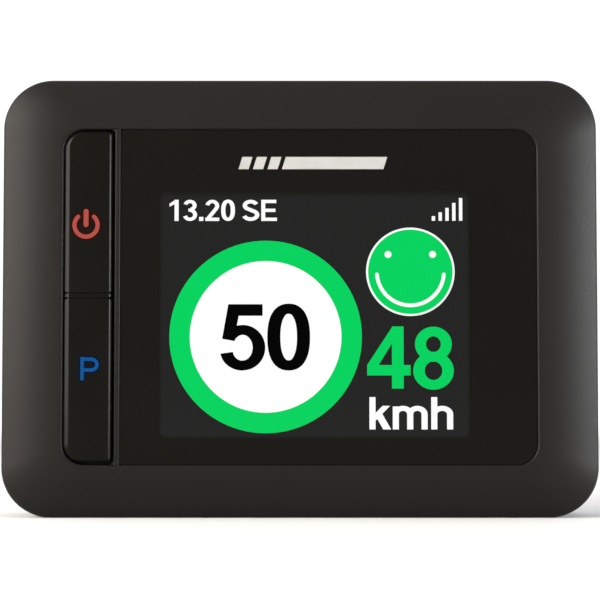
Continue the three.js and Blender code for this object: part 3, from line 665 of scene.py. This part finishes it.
def make_window():
    x = (RIB_X[1] + WINDOW_GAP, OPENING_HALF_WIDTH - WINDOW_GAP)
    z = (-OPENING_HALF_HEIGHT + WINDOW_GAP, OPENING_HALF_HEIGHT - WINDOW_GAP)
    outer = OPENING_RADIUS - WINDOW_GAP
    radii = [WINDOW_RIB_RADIUS, outer, outer, WINDOW_RIB_RADIUS]
    rings = []
    for angle in steps_between(0, math.pi / 2, 5):
        inset = WINDOW_EDGE * (1 - math.sin(angle))
        y = LENS_FACE_Y + WINDOW_EDGE * (1 - math.cos(angle))
        rings.append(inset_ring(x, z, inset, [r - inset for r in radii], y))
    rings.append(rectangle_ring(x, z, radii, LENS_BACK_Y))
    mesh = Shells().loft(rings).mesh("display_window")
    piece("display_window", mesh, lens_finish, "case", ["display_lens"])


# ---- Lettering strokes ---------------------------------------------------------------------

STEM = 0.185
BAR = 0.155


def arc(x, y, radius_x, radius_y, start, end, steps=28, power=2.0):
    """Points of an elliptical arc; a power over 2 squares its shoulders."""
    points = []
    for i in range(steps + 1):
        angle = math.radians(start + (end - start) * i / steps)
        cosine, sine = math.cos(angle), math.sin(angle)
        across = radius_x * math.copysign(abs(cosine) ** (2 / power), cosine)
        up = radius_y * math.copysign(abs(sine) ** (2 / power), sine)
        points.append((x + across, y + up))
    return points


def ribbon(points, across=STEM, along=BAR, closed=False):
    """A pen stroke as its two sides. The pen is wider across than along, as in bold lettering."""
    left, right = [], []
    count = len(points)
    for i, (x, y) in enumerate(points):
        before = points[(i - 1) % count] if closed else points[max(i - 1, 0)]
        after = points[(i + 1) % count] if closed else points[min(i + 1, count - 1)]
        step = Vector((after[0] - before[0], after[1] - before[1])).normalized()
        offset = (-step.y * across / 2, step.x * along / 2)
        left.append((x + offset[0], y + offset[1]))
        right.append((x - offset[0], y - offset[1]))
    return left, right, closed


def bar(x0, y0, x1, y1):
    """A rectangle as a stroke."""
    return [(x0, y0), (x0, y1)], [(x1, y0), (x1, y1)], False


def slab(left, right):
    """A stroke given by its two sides."""
    return left, right, False


def ring_stroke(x, y, radius_x, radius_y, power=2.0, across=STEM):
    steps = 48
    points = arc(x, y, radius_x, radius_y, 0, 360 - 360 / steps, steps - 1, power)
    return ribbon(points, across, closed=True)


X_HEIGHT = 0.73
LETTER_SPACING = 0.09
# Each stroke of a letter lies this much in front of the last one, so that no two share a plane.
STROKE_LIFT = 0.0015

# Each glyph is its width and its strokes, with capitals one unit high.
GLYPHS = {
    " ": (0.15, []),
    ".": (0.2, [bar(0, 0, 0.2, 0.19)]),
    "0": (0.64, [ring_stroke(0.32, 0.505, 0.2225, 0.427, 2.35, 0.197)]),
    "1": (0.55, [
        bar(0.235, 0, 0.425, 1),
        slab([(0, 0.67), (0.245, 0.8)], [(0, 0.82), (0.285, 1)]),
    ]),
    "2": (0.65, [
        ribbon(arc(0.325, 0.71, 0.2275, 0.2125, 170, -38) + [(0.13, 0.12)]),
        bar(0.0, 0, 0.65, BAR),
    ]),
    "3": (0.65, [
        ribbon(arc(0.315, 0.735, 0.215, 0.1875, 165, -82)),
        ribbon(arc(0.315, 0.29, 0.2375, 0.2125, 82, -165)),
        bar(0.24, 0.445, 0.36, 0.585),
    ]),
    "4": (0.7, [
        bar(0.4, 0, 0.589, 1),
        bar(0, 0.21, 0.7, 0.378),
        slab([(0.0, 0.378), (0.41, 1.0)], [(0.184, 0.378), (0.4, 0.724)]),
    ]),
    "5": (0.668, [
        bar(0.112, 0.825, 0.627, 1),
        slab([(0.02, 0.478), (0.112, 1.0)], [(0.2, 0.445), (0.27, 0.83)]),
        ribbon(
            arc(0.33, 0.345, 0.243, 0.268, 150, -90) + arc(0.33, 0.3, 0.243, 0.225, -90, -172)[1:],
            0.19,
            0.15,
        ),
    ]),
    "8": (0.65, [
        ring_stroke(0.325, 0.7135, 0.2087, 0.2045, across=0.178),
        ring_stroke(0.325, 0.2865, 0.235, 0.2275),
    ]),
    "E": (0.73, [
        bar(0, 0, STEM, 1),
        bar(0.1, 0, 0.73, BAR),
        bar(0.1, 1 - BAR, 0.7, 1),
        bar(0.1, 0.425, 0.66, 0.425 + BAR),
    ]),
    "S": (0.81, [
        ribbon(
            arc(0.405, 0.73, 0.27, 0.185, 18, 250) + arc(0.405, 0.285, 0.305, 0.2, 70, -165),
            0.2,
            0.17,
        ),
    ]),
    "k": (0.62, [
        bar(0, 0, STEM, 1),
        slab([(0.175, 0.5), (0.4, X_HEIGHT)], [(0.175, 0.26), (0.63, X_HEIGHT)]),
        slab([(0.22, 0.36), (0.42, 0.0)], [(0.38, 0.5), (0.66, 0.0)]),
    ]),
    "m": (1.08, [
        bar(0, 0, STEM, X_HEIGHT - 0.02),
        bar(0.4375, 0, 0.6225, 0.48),
        bar(0.875, 0, 1.06, 0.48),
        ribbon(arc(0.31125, 0.47, 0.21875, 0.1825, 180, 0)),
        ribbon(arc(0.74875, 0.47, 0.21875, 0.1825, 180, 0)),
    ]),
    "h": (0.667, [
        bar(0, 0, STEM, 1),
        bar(0.482, 0, 0.667, 0.48),
        ribbon(arc(0.3335, 0.47, 0.241, 0.1825, 180, 0)),
    ]),
}


def write(shells, text, x, z, y, spacing=LETTER_SPACING):
    """Fits a line of text into the box from x[0] to x[1] and z[0] to z[1]."""
    total = sum(GLYPHS[letter][0] + spacing for letter in text) - spacing
    scale_x = (x[1] - x[0]) / total
    scale_z = z[1] - z[0]
    start = 0.0
    for letter in text:
        width, strokes = GLYPHS[letter]
        for depth, (left, right, closed) in enumerate(strokes):
            placed = [
                [(x[0] + (start + px) * scale_x, z[0] + pz * scale_z) for px, pz in side]
                for side in (left, right)
            ]
            add_facing(shells, (*placed, closed), y - depth * STROKE_LIFT)
        start += width + spacing
    return shells


def add_facing(shells, stroke, y):
    """Adds a stroke so that it looks forwards whichever way its sides were given."""
    left, right, closed = stroke
    area = 0.0
    outline = [*right, *reversed(left)]
    for (ax, az), (bx, bz) in zip(outline, outline[1:] + outline[:1]):
        area += ax * bz - bx * az
    if area < 0:
        left, right = right, left
    shells.strip(left, right, y, closed)


# ---- Display picture -----------------------------------------------------------------------

SCREEN_Y = LENS_FACE_Y - 0.02
PICTURE_Y = LENS_FACE_Y - 0.04
TOP_PICTURE_Y = LENS_FACE_Y - 0.06
FEATURES_Y = TOP_PICTURE_Y - 0.01
MOUTH_TIPS_Y = TOP_PICTURE_Y - 0.012

SIGN_MIDDLE = (-4.45, -5.205)
SIGN_RADIUS = 12.465
SIGN_INNER_RADIUS = 9.82
FACE_MIDDLE = (14.31, 3.225)
FACE_RADIUS = 5.745
FACE_GREEN_RADIUS = 5.485
# The white rim runs in a little way under the green.
FACE_RIM_RADIUS = FACE_GREEN_RADIUS - 0.1
EYE_OFFSET = (2.89, 2.25)
EYE_RADIUS = 0.45
MOUTH_RADII = (4.35, 4.36)
MOUTH_STROKE = 0.47
MOUTH_ENDS = (-175.3, -4.7)
# Each read-out's left and right, and its low and high.
TIME_BOX = ((-16.95, -3.0), (9.84, 12.595))
LIMIT_BOX = ((-10.26, 1.3), (-9.59, -0.99))
SPEED_BOX = ((8.69, 19.865), (-11.9, -3.87))
UNIT_BOX = ((8.97, 19.78), (-17.18, -13.01))
LIMIT_SPACING = 0.03
SPEED_SPACING = 0.045
SIGNAL_LEFT = 17.11
SIGNAL_BASE = 9.863
SIGNAL_PITCH = 0.884
SIGNAL_WIDTH = 0.438
SIGNAL_HEIGHTS = (0.6, 1.1, 1.675, 2.32, 2.965)


def disc(middle, radius, steps=96):
    """A circle as an outline for a film."""
    return arc(*middle, radius, radius, 0, 360 - 360 / steps, steps - 1)


def picture_piece(name, shells, material):
    piece(name, shells.mesh(name), material, "case")


def make_picture():
    left, right, low, high = [fade / 2 for fade in SCREEN_FADES]
    screen_x = (SCREEN_X[0] - left, SCREEN_X[1] + right)
    screen_z = (SCREEN_Z[0] - low, SCREEN_Z[1] + high)
    corners = rectangle_ring(screen_x, screen_z, [SCREEN_RADIUS] * 4, 0, 8)
    backdrop = Shells().flat([(x, z) for x, _, z in corners], SCREEN_Y)
    picture_piece("screen_area", backdrop, dark_screen)

    sign = Shells()
    sign_rim = (disc(SIGN_MIDDLE, SIGN_INNER_RADIUS), disc(SIGN_MIDDLE, SIGN_RADIUS))
    sign.strip(*sign_rim, PICTURE_Y, closed=True)
    sign.flat(disc(FACE_MIDDLE, FACE_GREEN_RADIUS), TOP_PICTURE_Y)
    write(sign, "48", *SPEED_BOX, PICTURE_Y, SPEED_SPACING)
    picture_piece("screen_green_shapes", sign, green_light)

    white = Shells()
    white.flat(disc(SIGN_MIDDLE, SIGN_INNER_RADIUS), PICTURE_Y)
    face_rim = (disc(FACE_MIDDLE, FACE_RIM_RADIUS), disc(FACE_MIDDLE, FACE_RADIUS))
    white.strip(*face_rim, PICTURE_Y, closed=True)
    for side in (-1, 1):
        eye = (FACE_MIDDLE[0] + side * EYE_OFFSET[0], FACE_MIDDLE[1] + EYE_OFFSET[1])
        white.flat(disc(eye, EYE_RADIUS, 32), FEATURES_Y)
    mouth = ribbon(arc(*FACE_MIDDLE, *MOUTH_RADII, *MOUTH_ENDS, 40), MOUTH_STROKE, MOUTH_STROKE)
    add_facing(white, mouth, FEATURES_Y)
    for end in MOUTH_ENDS:
        tip = arc(*FACE_MIDDLE, *MOUTH_RADII, end, end + 1, 1)[0]
        white.flat(disc(tip, MOUTH_STROKE / 2, 20), MOUTH_TIPS_Y)
    write(white, "kmh", *UNIT_BOX, PICTURE_Y)
    write(white, "13.20 SE", *TIME_BOX, PICTURE_Y)
    for i, tall in enumerate(SIGNAL_HEIGHTS):
        left = SIGNAL_LEFT + i * SIGNAL_PITCH
        signal = bar(left, SIGNAL_BASE, left + SIGNAL_WIDTH, SIGNAL_BASE + tall)
        add_facing(white, signal, PICTURE_Y)
    picture_piece("screen_white_shapes", white, white_light)

    digits = write(Shells(), "50", *LIMIT_BOX, TOP_PICTURE_Y, LIMIT_SPACING)
    picture_piece("screen_black_digits", digits, black_ink)


# A plain mark, three short slanting dashes and a long one, printed above the display.
MARK_X = (-8.0, 10.85)
MARK_Z = (16.6, 18.2)
MARK_SLANT = 0.5
MARK_DASHES = [(0.0, 0.07), (0.1, 0.17), (0.2, 0.27), (0.3, 1.0)]


def make_mark():
    shells = Shells()
    length = MARK_X[1] - MARK_X[0]
    for start, end in MARK_DASHES:
        low, high = MARK_X[0] + start * length, MARK_X[0] + end * length
        side = [(low, MARK_Z[0]), (low + MARK_SLANT, MARK_Z[1])]
        other = [(high, MARK_Z[0]), (high + MARK_SLANT, MARK_Z[1])]
        add_facing(shells, slab(side, other), PICTURE_Y)
    picture_piece("plain_mark", shells, mark_ink)


# ---- Key symbols ---------------------------------------------------------------------------

POWER_MIDDLE = (-27.76, 9.27)
POWER_RADIUS = 1.5
POWER_STROKE = 0.54
POWER_BAR_STROKE = 0.64
POWER_BAR_Z = (9.34, 11.06)
POWER_ENDS = (133, 407)
PROGRAM_X = (-28.41, -25.98)
PROGRAM_Z = (-10.84, -7.83)
SYMBOL_Y = KEY_FACE_Y - 0.02
GLOW_Y = KEY_FACE_Y - 0.01
SYMBOL_STROKE = 0.185
# The letter P in units of its height: the bowl's lower line, where its curve starts, and how far it goes.
P_WAIST = 0.44
P_BOWL_START = 0.5
P_BOWL_REACH = 0.3
GLOW_REACH = 0.22
SYMBOL_LIFT = 0.001


def round_stroke(shells, points, stroke, y):
    """A stroke of one width with round ends."""
    add_facing(shells, ribbon(points, stroke, stroke), y)
    for tip in (points[0], points[-1]):
        shells.flat(disc(tip, stroke / 2, 24), y - SYMBOL_LIFT)


def power_shape(spread_by, y):
    """The ring and bar of the power symbol, with every stroke widened on both sides."""
    shells = Shells()
    ring = arc(*POWER_MIDDLE, POWER_RADIUS, POWER_RADIUS, *POWER_ENDS, 60)
    round_stroke(shells, ring, POWER_STROKE + 2 * spread_by, y)
    line = [(POWER_MIDDLE[0], z) for z in POWER_BAR_Z]
    round_stroke(shells, line, POWER_BAR_STROKE + 2 * spread_by, y - 2 * SYMBOL_LIFT)
    return shells


def program_shape(spread_by, y):
    """The letter P of the program symbol, with every stroke widened on both sides."""
    width, tall = PROGRAM_X[1] - PROGRAM_X[0], PROGRAM_Z[1] - PROGRAM_Z[0]
    half = SYMBOL_STROKE / 2
    top = 1 - half
    curve = arc(P_BOWL_START, (top + P_WAIST) / 2, P_BOWL_REACH, (top - P_WAIST) / 2, 90, -90, 24)
    bowl = [(half, top), (P_BOWL_START, top), *curve, (half, P_WAIST)]
    stem = [(half, 0), (half, 1)]
    glyph_width = P_BOWL_START + P_BOWL_REACH + half
    shells = Shells()
    for depth, line in enumerate((stem, bowl)):
        placed = [(PROGRAM_X[0] + px * width / glyph_width, PROGRAM_Z[0] + pz * tall) for px, pz in line]
        stroke = SYMBOL_STROKE * width + 2 * spread_by
        add_facing(shells, ribbon(placed, stroke, stroke), y - depth * SYMBOL_LIFT)
    return shells


def make_symbols():
    shapes = [
        ("power", power_shape, "power_key", "led_red", red_symbol, red_glow),
        ("program", program_shape, "program_key", "led_blue", blue_symbol, blue_glow),
    ]
    for name, shape, body, slot, symbol_finish, glow_finish in shapes:
        symbol, glow = f"{name}_symbol", f"{name}_glow"
        piece(symbol, shape(0, SYMBOL_Y).mesh(symbol), symbol_finish, body)
        piece(glow, shape(GLOW_REACH, GLOW_Y).mesh(glow), glow_finish, body)


# ---- Rear cover and its fittings -----------------------------------------------------------

SCREW_PLACES = [(32.2, 21.9), (-32.2, 21.9), (-32.2, -21.9), (32.2, -21.9)]
WELL_RADIUS = 2.2
WELL_FLOOR_Y = 4.2
BOSS_RADIUS = 2.8
BOSS_BORE_RADIUS = 1.15
BOSS_FRONT_Y = -1.4
DISC_RADIUS = 12.0
DISC_FRONT_Y = 7.4
DISC_FACE_Y = 8.0
RECESS_FLOOR_Y = 7.1
SPEAKER_MIDDLE = (-21.0, -10.5)
HOLE_RADIUS = 0.8
HOLE_PITCH = 2.9
LABEL_X = (15.5, 31.0)
LABEL_Z = (-13.0, 13.0)
LABEL_RADIUS = 0.8
LABEL_FACE_Y = BACK_Y + 0.05
LABEL_THICKNESS = 0.25
# The printed border's two edges, as (distance inside the label's edge, corner radius).
BORDER_EDGES = [(0.7, 0.6), (0.9, 0.5)]
BORDER_Y = LABEL_FACE_Y + 0.01
LABEL_RECESS_DEPTH = 0.25
RECESS_CLEARANCE = 0.2
BACK_INSET = 3.4
CAVITY_INSET = 2.0
SOCKET_Z = -10.0
SLOT_Y = (-1.6, 3.0)
SLOT_HALF_Z = 4.4
SLOT_RADIUS = 1.0
SLOT_INNER_X = HALF_WIDTH - WALL - 0.8
FLARE = 0.18
COVER_FRONT_Y = PARTING_Y + 0.05
CUTTER_REACH = 1


def grille_places():
    """The middle hole, and rings of six, twelve and so on round it."""
    places = [SPEAKER_MIDDLE]
    for ring in (1, 2):
        for i in range(6 * ring):
            angle = 2 * math.pi * i / (6 * ring)
            x = SPEAKER_MIDDLE[0] + ring * HOLE_PITCH * math.cos(angle)
            z = SPEAKER_MIDDLE[1] + ring * HOLE_PITCH * math.sin(angle)
            places.append((x, z))
    return places


def flared(radius, floor_y):
    """The profile of a round cutter whose mouth opens in a small chamfer at the back face."""
    return [
        (radius, floor_y),
        (radius, BACK_Y - FLARE),
        (radius + FLARE, BACK_Y),
        (radius + FLARE, BACK_Y + CUTTER_REACH),
    ]


def make_cover():
    depth = BACK_Y - SIDE_END_Y
    inner_depth = INNER_BACK_Y - SIDE_END_Y
    rings = []
    for angle in reversed(steps_between(0, math.pi / 2, 8)):
        inset = WALL + CAVITY_INSET * (1 - math.cos(angle))
        rings.append(case_ring(inset, SIDE_END_Y + inner_depth * math.sin(angle)))
    rings.append(case_ring(WALL, COVER_FRONT_Y))
    rings.append(case_ring(SEAM_CHAMFER, COVER_FRONT_Y))
    rings.append(case_ring(0, COVER_FRONT_Y + SEAM_CHAMFER))
    for angle in steps_between(0, math.pi / 2, 24):
        inset = BACK_INSET * (1 - math.cos(angle))
        rings.append(case_ring(inset, SIDE_END_Y + depth * math.sin(angle)))
    shell = Shells().loft(rings).mesh("cover_base")

    cutters = Shells()
    for x, z in SCREW_PLACES:
        cutters.turned(x, z, flared(WELL_RADIUS, INNER_BACK_Y - CUTTER_REACH), 48)
    cutters.turned(0, 0, flared(DISC_RADIUS + RECESS_CLEARANCE, RECESS_FLOOR_Y), 128)
    for x, z in grille_places():
        cutters.turned(x, z, flared(HOLE_RADIUS, INNER_BACK_Y - CUTTER_REACH), 24)
    recess_levels = (BACK_Y - LABEL_RECESS_DEPTH, BACK_Y + CUTTER_REACH)
    recess_radii = [LABEL_RADIUS + RECESS_CLEARANCE] * 4
    recess = [inset_ring(LABEL_X, LABEL_Z, -RECESS_CLEARANCE, recess_radii, y, 10) for y in recess_levels]
    cutters.loft(recess)
    slot_z = (SOCKET_Z - SLOT_HALF_Z, SOCKET_Z + SLOT_HALF_Z)
    slot = rectangle_ring(SLOT_Y, slot_z, [SLOT_RADIUS] * 4, 0, 8)
    slot_levels = (SLOT_INNER_X, HALF_WIDTH + CUTTER_REACH)
    cutters.loft([[(x, y, z) for y, _, z in reversed(slot)] for x in slot_levels])
    body = carved("cover_shell", shell, cutters.mesh("cover_cutters"))
    piece("cover_shell", body, case_finish, "case", ["rear_cover"])

    boss_profile = [
        (BOSS_BORE_RADIUS, BOSS_FRONT_Y),
        (BOSS_RADIUS, BOSS_FRONT_Y),
        (BOSS_RADIUS, INNER_BACK_Y),
        (WELL_RADIUS, INNER_BACK_Y),
        (WELL_RADIUS, WELL_FLOOR_Y),
        (BOSS_BORE_RADIUS, WELL_FLOOR_Y),
    ]
    bosses = Shells()
    for x, z in SCREW_PLACES:
        bosses.turned(x, z, boss_profile, 48, loop=True)
    piece("cover_bosses", bosses.mesh("cover_bosses"), case_finish, "case")


# ---- Screws, disc and label ----------------------------------------------------------------

HEAD_RADIUS = 1.9
HEAD_TALL = 1.3
HEAD_DOME_WIDTH = 1.5
HEAD_DOME_TALL = 0.7
SHANK_RADIUS = 0.95
SHANK_END_Y = -4.0
TIP_RADIUS = 0.4
TIP_Y = -4.8
DRIVER_SLOT_REACH = 1.1
# The driver slots' width at their floor and above the head, and those two levels' heights from its top.
DRIVER_SLOT_WIDTHS = (0.5, 0.62)
DRIVER_SLOT_HEIGHTS = (-0.8, 0.3)
SCREW_TURNS = (55, 90, 125, 160)
DISC_EDGE = 0.2


def make_screws():
    top = WELL_FLOOR_Y + HEAD_TALL
    profile = [
        (TIP_RADIUS, TIP_Y),
        (SHANK_RADIUS, SHANK_END_Y),
        (SHANK_RADIUS, WELL_FLOOR_Y),
        (HEAD_RADIUS, WELL_FLOOR_Y),
    ]
    for angle in steps_between(0, math.pi / 2, 8):
        radius = HEAD_RADIUS - HEAD_DOME_WIDTH * (1 - math.cos(angle))
        profile.append((radius, top - HEAD_DOME_TALL + HEAD_DOME_TALL * math.sin(angle)))
    slot_levels = list(zip(DRIVER_SLOT_WIDTHS, [top + height for height in DRIVER_SLOT_HEIGHTS]))
    finish = SLOT_FINISHES["black_steel"]
    for number, ((x, z), turn) in enumerate(zip(SCREW_PLACES, SCREW_TURNS), start=1):
        name = f"screw_{number}"
        head = Shells().turned(x, z, profile, 40).mesh(name + "_base")
        for quarter in (0, 1):
            angle = math.radians(turn) + quarter * math.pi / 2
            cross = Shells().loft([slot_ring(x, z, angle, wide, y) for wide, y in slot_levels])
            head = carved(f"{name}_{quarter}", head, cross.mesh(f"{name}_cross_{quarter}"))
        piece(name, head, finish, "case", [f"case_screw_{number}"])


def slot_ring(x, z, angle, wide, y):
    """One level of a driver slot, as four corners."""
    along = Vector((math.cos(angle), math.sin(angle))) * DRIVER_SLOT_REACH
    across = Vector((-math.sin(angle), math.cos(angle))) * wide / 2
    corners = [-along - across, along - across, along + across, -along + across]
    return [(x + c.x, y, z + c.y) for c in corners]


def make_disc():
    edge_y = DISC_FACE_Y - DISC_EDGE
    profile = [(DISC_RADIUS, DISC_FRONT_Y), (DISC_RADIUS, edge_y)]
    for angle in steps_between(0, math.pi / 2, 6)[1:]:
        radius = DISC_RADIUS - DISC_EDGE * (1 - math.cos(angle))
        profile.append((radius, edge_y + DISC_EDGE * math.sin(angle)))
    mesh = Shells().turned(0, 0, profile, 128).mesh("steel_disc")
    piece("steel_disc", mesh, disc_finish, "case", ["mounting_disc"])


def make_label():
    """A blank silver label with a thin printed border."""
    levels = (LABEL_FACE_Y - LABEL_THICKNESS, LABEL_FACE_Y)
    rings = [rectangle_ring(LABEL_X, LABEL_Z, [LABEL_RADIUS] * 4, y, 10) for y in levels]
    film = Shells().loft(rings).mesh("blank_label")
    piece("blank_label", film, SLOT_FINISHES["label"], "case", ["rating_label"])
    sides = []
    for inset, radius in BORDER_EDGES:
        ring = inset_ring(LABEL_X, LABEL_Z, inset, [radius] * 4, 0, 8)
        sides.append([(x, z) for x, _, z in ring])
    border = Shells().strip(*sides, BORDER_Y, closed=True).mesh("label_border")
    piece("label_border", border, SLOT_FINISHES["chip"], "case")


# ---- Studio --------------------------------------------------------------------------------

CAMERA_DISTANCE = 0.240
CAMERA_DROP_DEGREES = 3.15
# Pixels per millimetre at the front, in a picture 600 pixels wide.
FRONT_SCALE = 7.72
PICTURE_WIDTH = 600
CAMERA_AIM_Z = -0.45

# All in metres: the floor's reach, and the distances between which it lifts to white.
FLOOR_REACH = 12.0
FLOOR_FADE = (0.35, 0.8)
FLOOR_GLOW = 0.7

# The world is brighter behind the device (towards +Y) than in front of it.
WORLD_FADE = (-0.5, 0.2)
WORLD_STRENGTHS = (0.7, 1.1)

# Each light's name, place and size in metres, power in watts, and colour.
SOFTBOXES = [
    ("left_softbox", (-0.52, -0.22, 0.2), (0.45, 0.5), 10.8, (1, 0.94, 0.87)),
    ("right_softbox", (0.54, -0.18, 0.05), (0.38, 0.24), 9.3, (0.97, 0.98, 1)),
]


def add_light(name, place, size, power, color):
    """An area light that looks at the middle of the device."""
    light = bpy.data.lights.new(name, "AREA")
    light.shape = "RECTANGLE"
    light.size, light.size_y = size
    light.energy = power
    light.color = color
    made = bpy.data.objects.new(name, light)
    made.location = place
    target = Vector((0, 0, HALF_HEIGHT * MM))
    made.rotation_euler = (target - Vector(place)).to_track_quat("-Z", "Y").to_euler()
    bpy.context.scene.collection.objects.link(made)


def fade_floor(material):
    """Lifts the floor to the backdrop's white with distance, where the softboxes don't reach."""
    nodes, links = material.node_tree.nodes, material.node_tree.links
    shader = nodes["Principled BSDF"]
    coordinates = nodes.new("ShaderNodeTexCoord")
    distance = nodes.new("ShaderNodeVectorMath")
    distance.operation = "LENGTH"
    links.new(coordinates.outputs["Object"], distance.inputs[0])
    glow = map_range(nodes, links, distance.outputs["Value"], *FLOOR_FADE, 0, FLOOR_GLOW)
    links.new(glow, shader.inputs["Emission Strength"])
    shader.inputs["Emission Color"].default_value = (1, 1, 1, 1)


def make_studio():
    scene = bpy.context.scene
    scene.view_settings.view_transform = "Standard"
    world = bpy.data.worlds.new("studio")
    world.use_nodes = True
    nodes, links = world.node_tree.nodes, world.node_tree.links
    coordinates = nodes.new("ShaderNodeTexCoord")
    split = nodes.new("ShaderNodeSeparateXYZ")
    links.new(coordinates.outputs["Generated"], split.inputs["Vector"])
    strength = map_range(nodes, links, split.outputs["Y"], *WORLD_FADE, *WORLD_STRENGTHS)
    links.new(strength, nodes["Background"].inputs["Strength"])
    nodes["Background"].inputs["Color"].default_value = (1, 1, 1, 1)
    scene.world = world

    floor_mesh = bpy.data.meshes.new("floor")
    corners = [(x, y, 0) for x, y in ((-1, -1), (1, -1), (1, 1), (-1, 1))]
    floor_mesh.from_pydata([Vector(corner) * FLOOR_REACH for corner in corners], [], [(0, 1, 2, 3)])
    floor_finish = surface(
        "pale_floor", (0.6, 0.6, 0.6), 0.8, tint=0.01, patch_mm=200, grain_mm=2, bump_mm=0, IOR=1.2
    )
    fade_floor(floor_finish)
    floor_mesh.materials.append(floor_finish)
    floor = bpy.data.objects.new("floor", floor_mesh)
    scene.collection.objects.link(floor)

    for softbox in SOFTBOXES:
        add_light(*softbox)


def make_camera():
    camera = bpy.data.cameras.new("camera")
    camera.sensor_width = 36
    camera.lens = FRONT_SCALE * CAMERA_DISTANCE / MM * camera.sensor_width / PICTURE_WIDTH
    camera.clip_start = 0.01
    made = bpy.data.objects.new("camera", camera)
    drop = math.radians(CAMERA_DROP_DEGREES)
    face = Vector(device(0, RIM_Y, 0))
    made.location = face + Vector((0, -math.cos(drop), -math.sin(drop))) * CAMERA_DISTANCE
    target = Vector(device(0, RIM_Y, CAMERA_AIM_Z))
    made.rotation_euler = (target - made.location).to_track_quat("-Z", "Y").to_euler()
    bpy.context.scene.collection.objects.link(made)
    bpy.context.scene.camera = made


# ---- Assembly ------------------------------------------------------------------------------


def finish_cad_nodes():
    """Gives every CAD node that stays in view the procedural finish of its slot."""
    slots = {part["node"]: part["material_slot"] for part in frame["record"]["subparts"]}
    for name, made in frame["nodes"].items():
        finish = speaker_cloth if name == "speaker_cloth" else SLOT_FINISHES[slots[name]]
        made.data.materials.clear()
        made.data.materials.append(finish)


finish_cad_nodes()
make_bezel()
make_keys()
make_window()
make_picture()
make_mark()
make_symbols()
make_cover()
make_screws()
make_disc()
make_label()
make_studio()
make_camera()
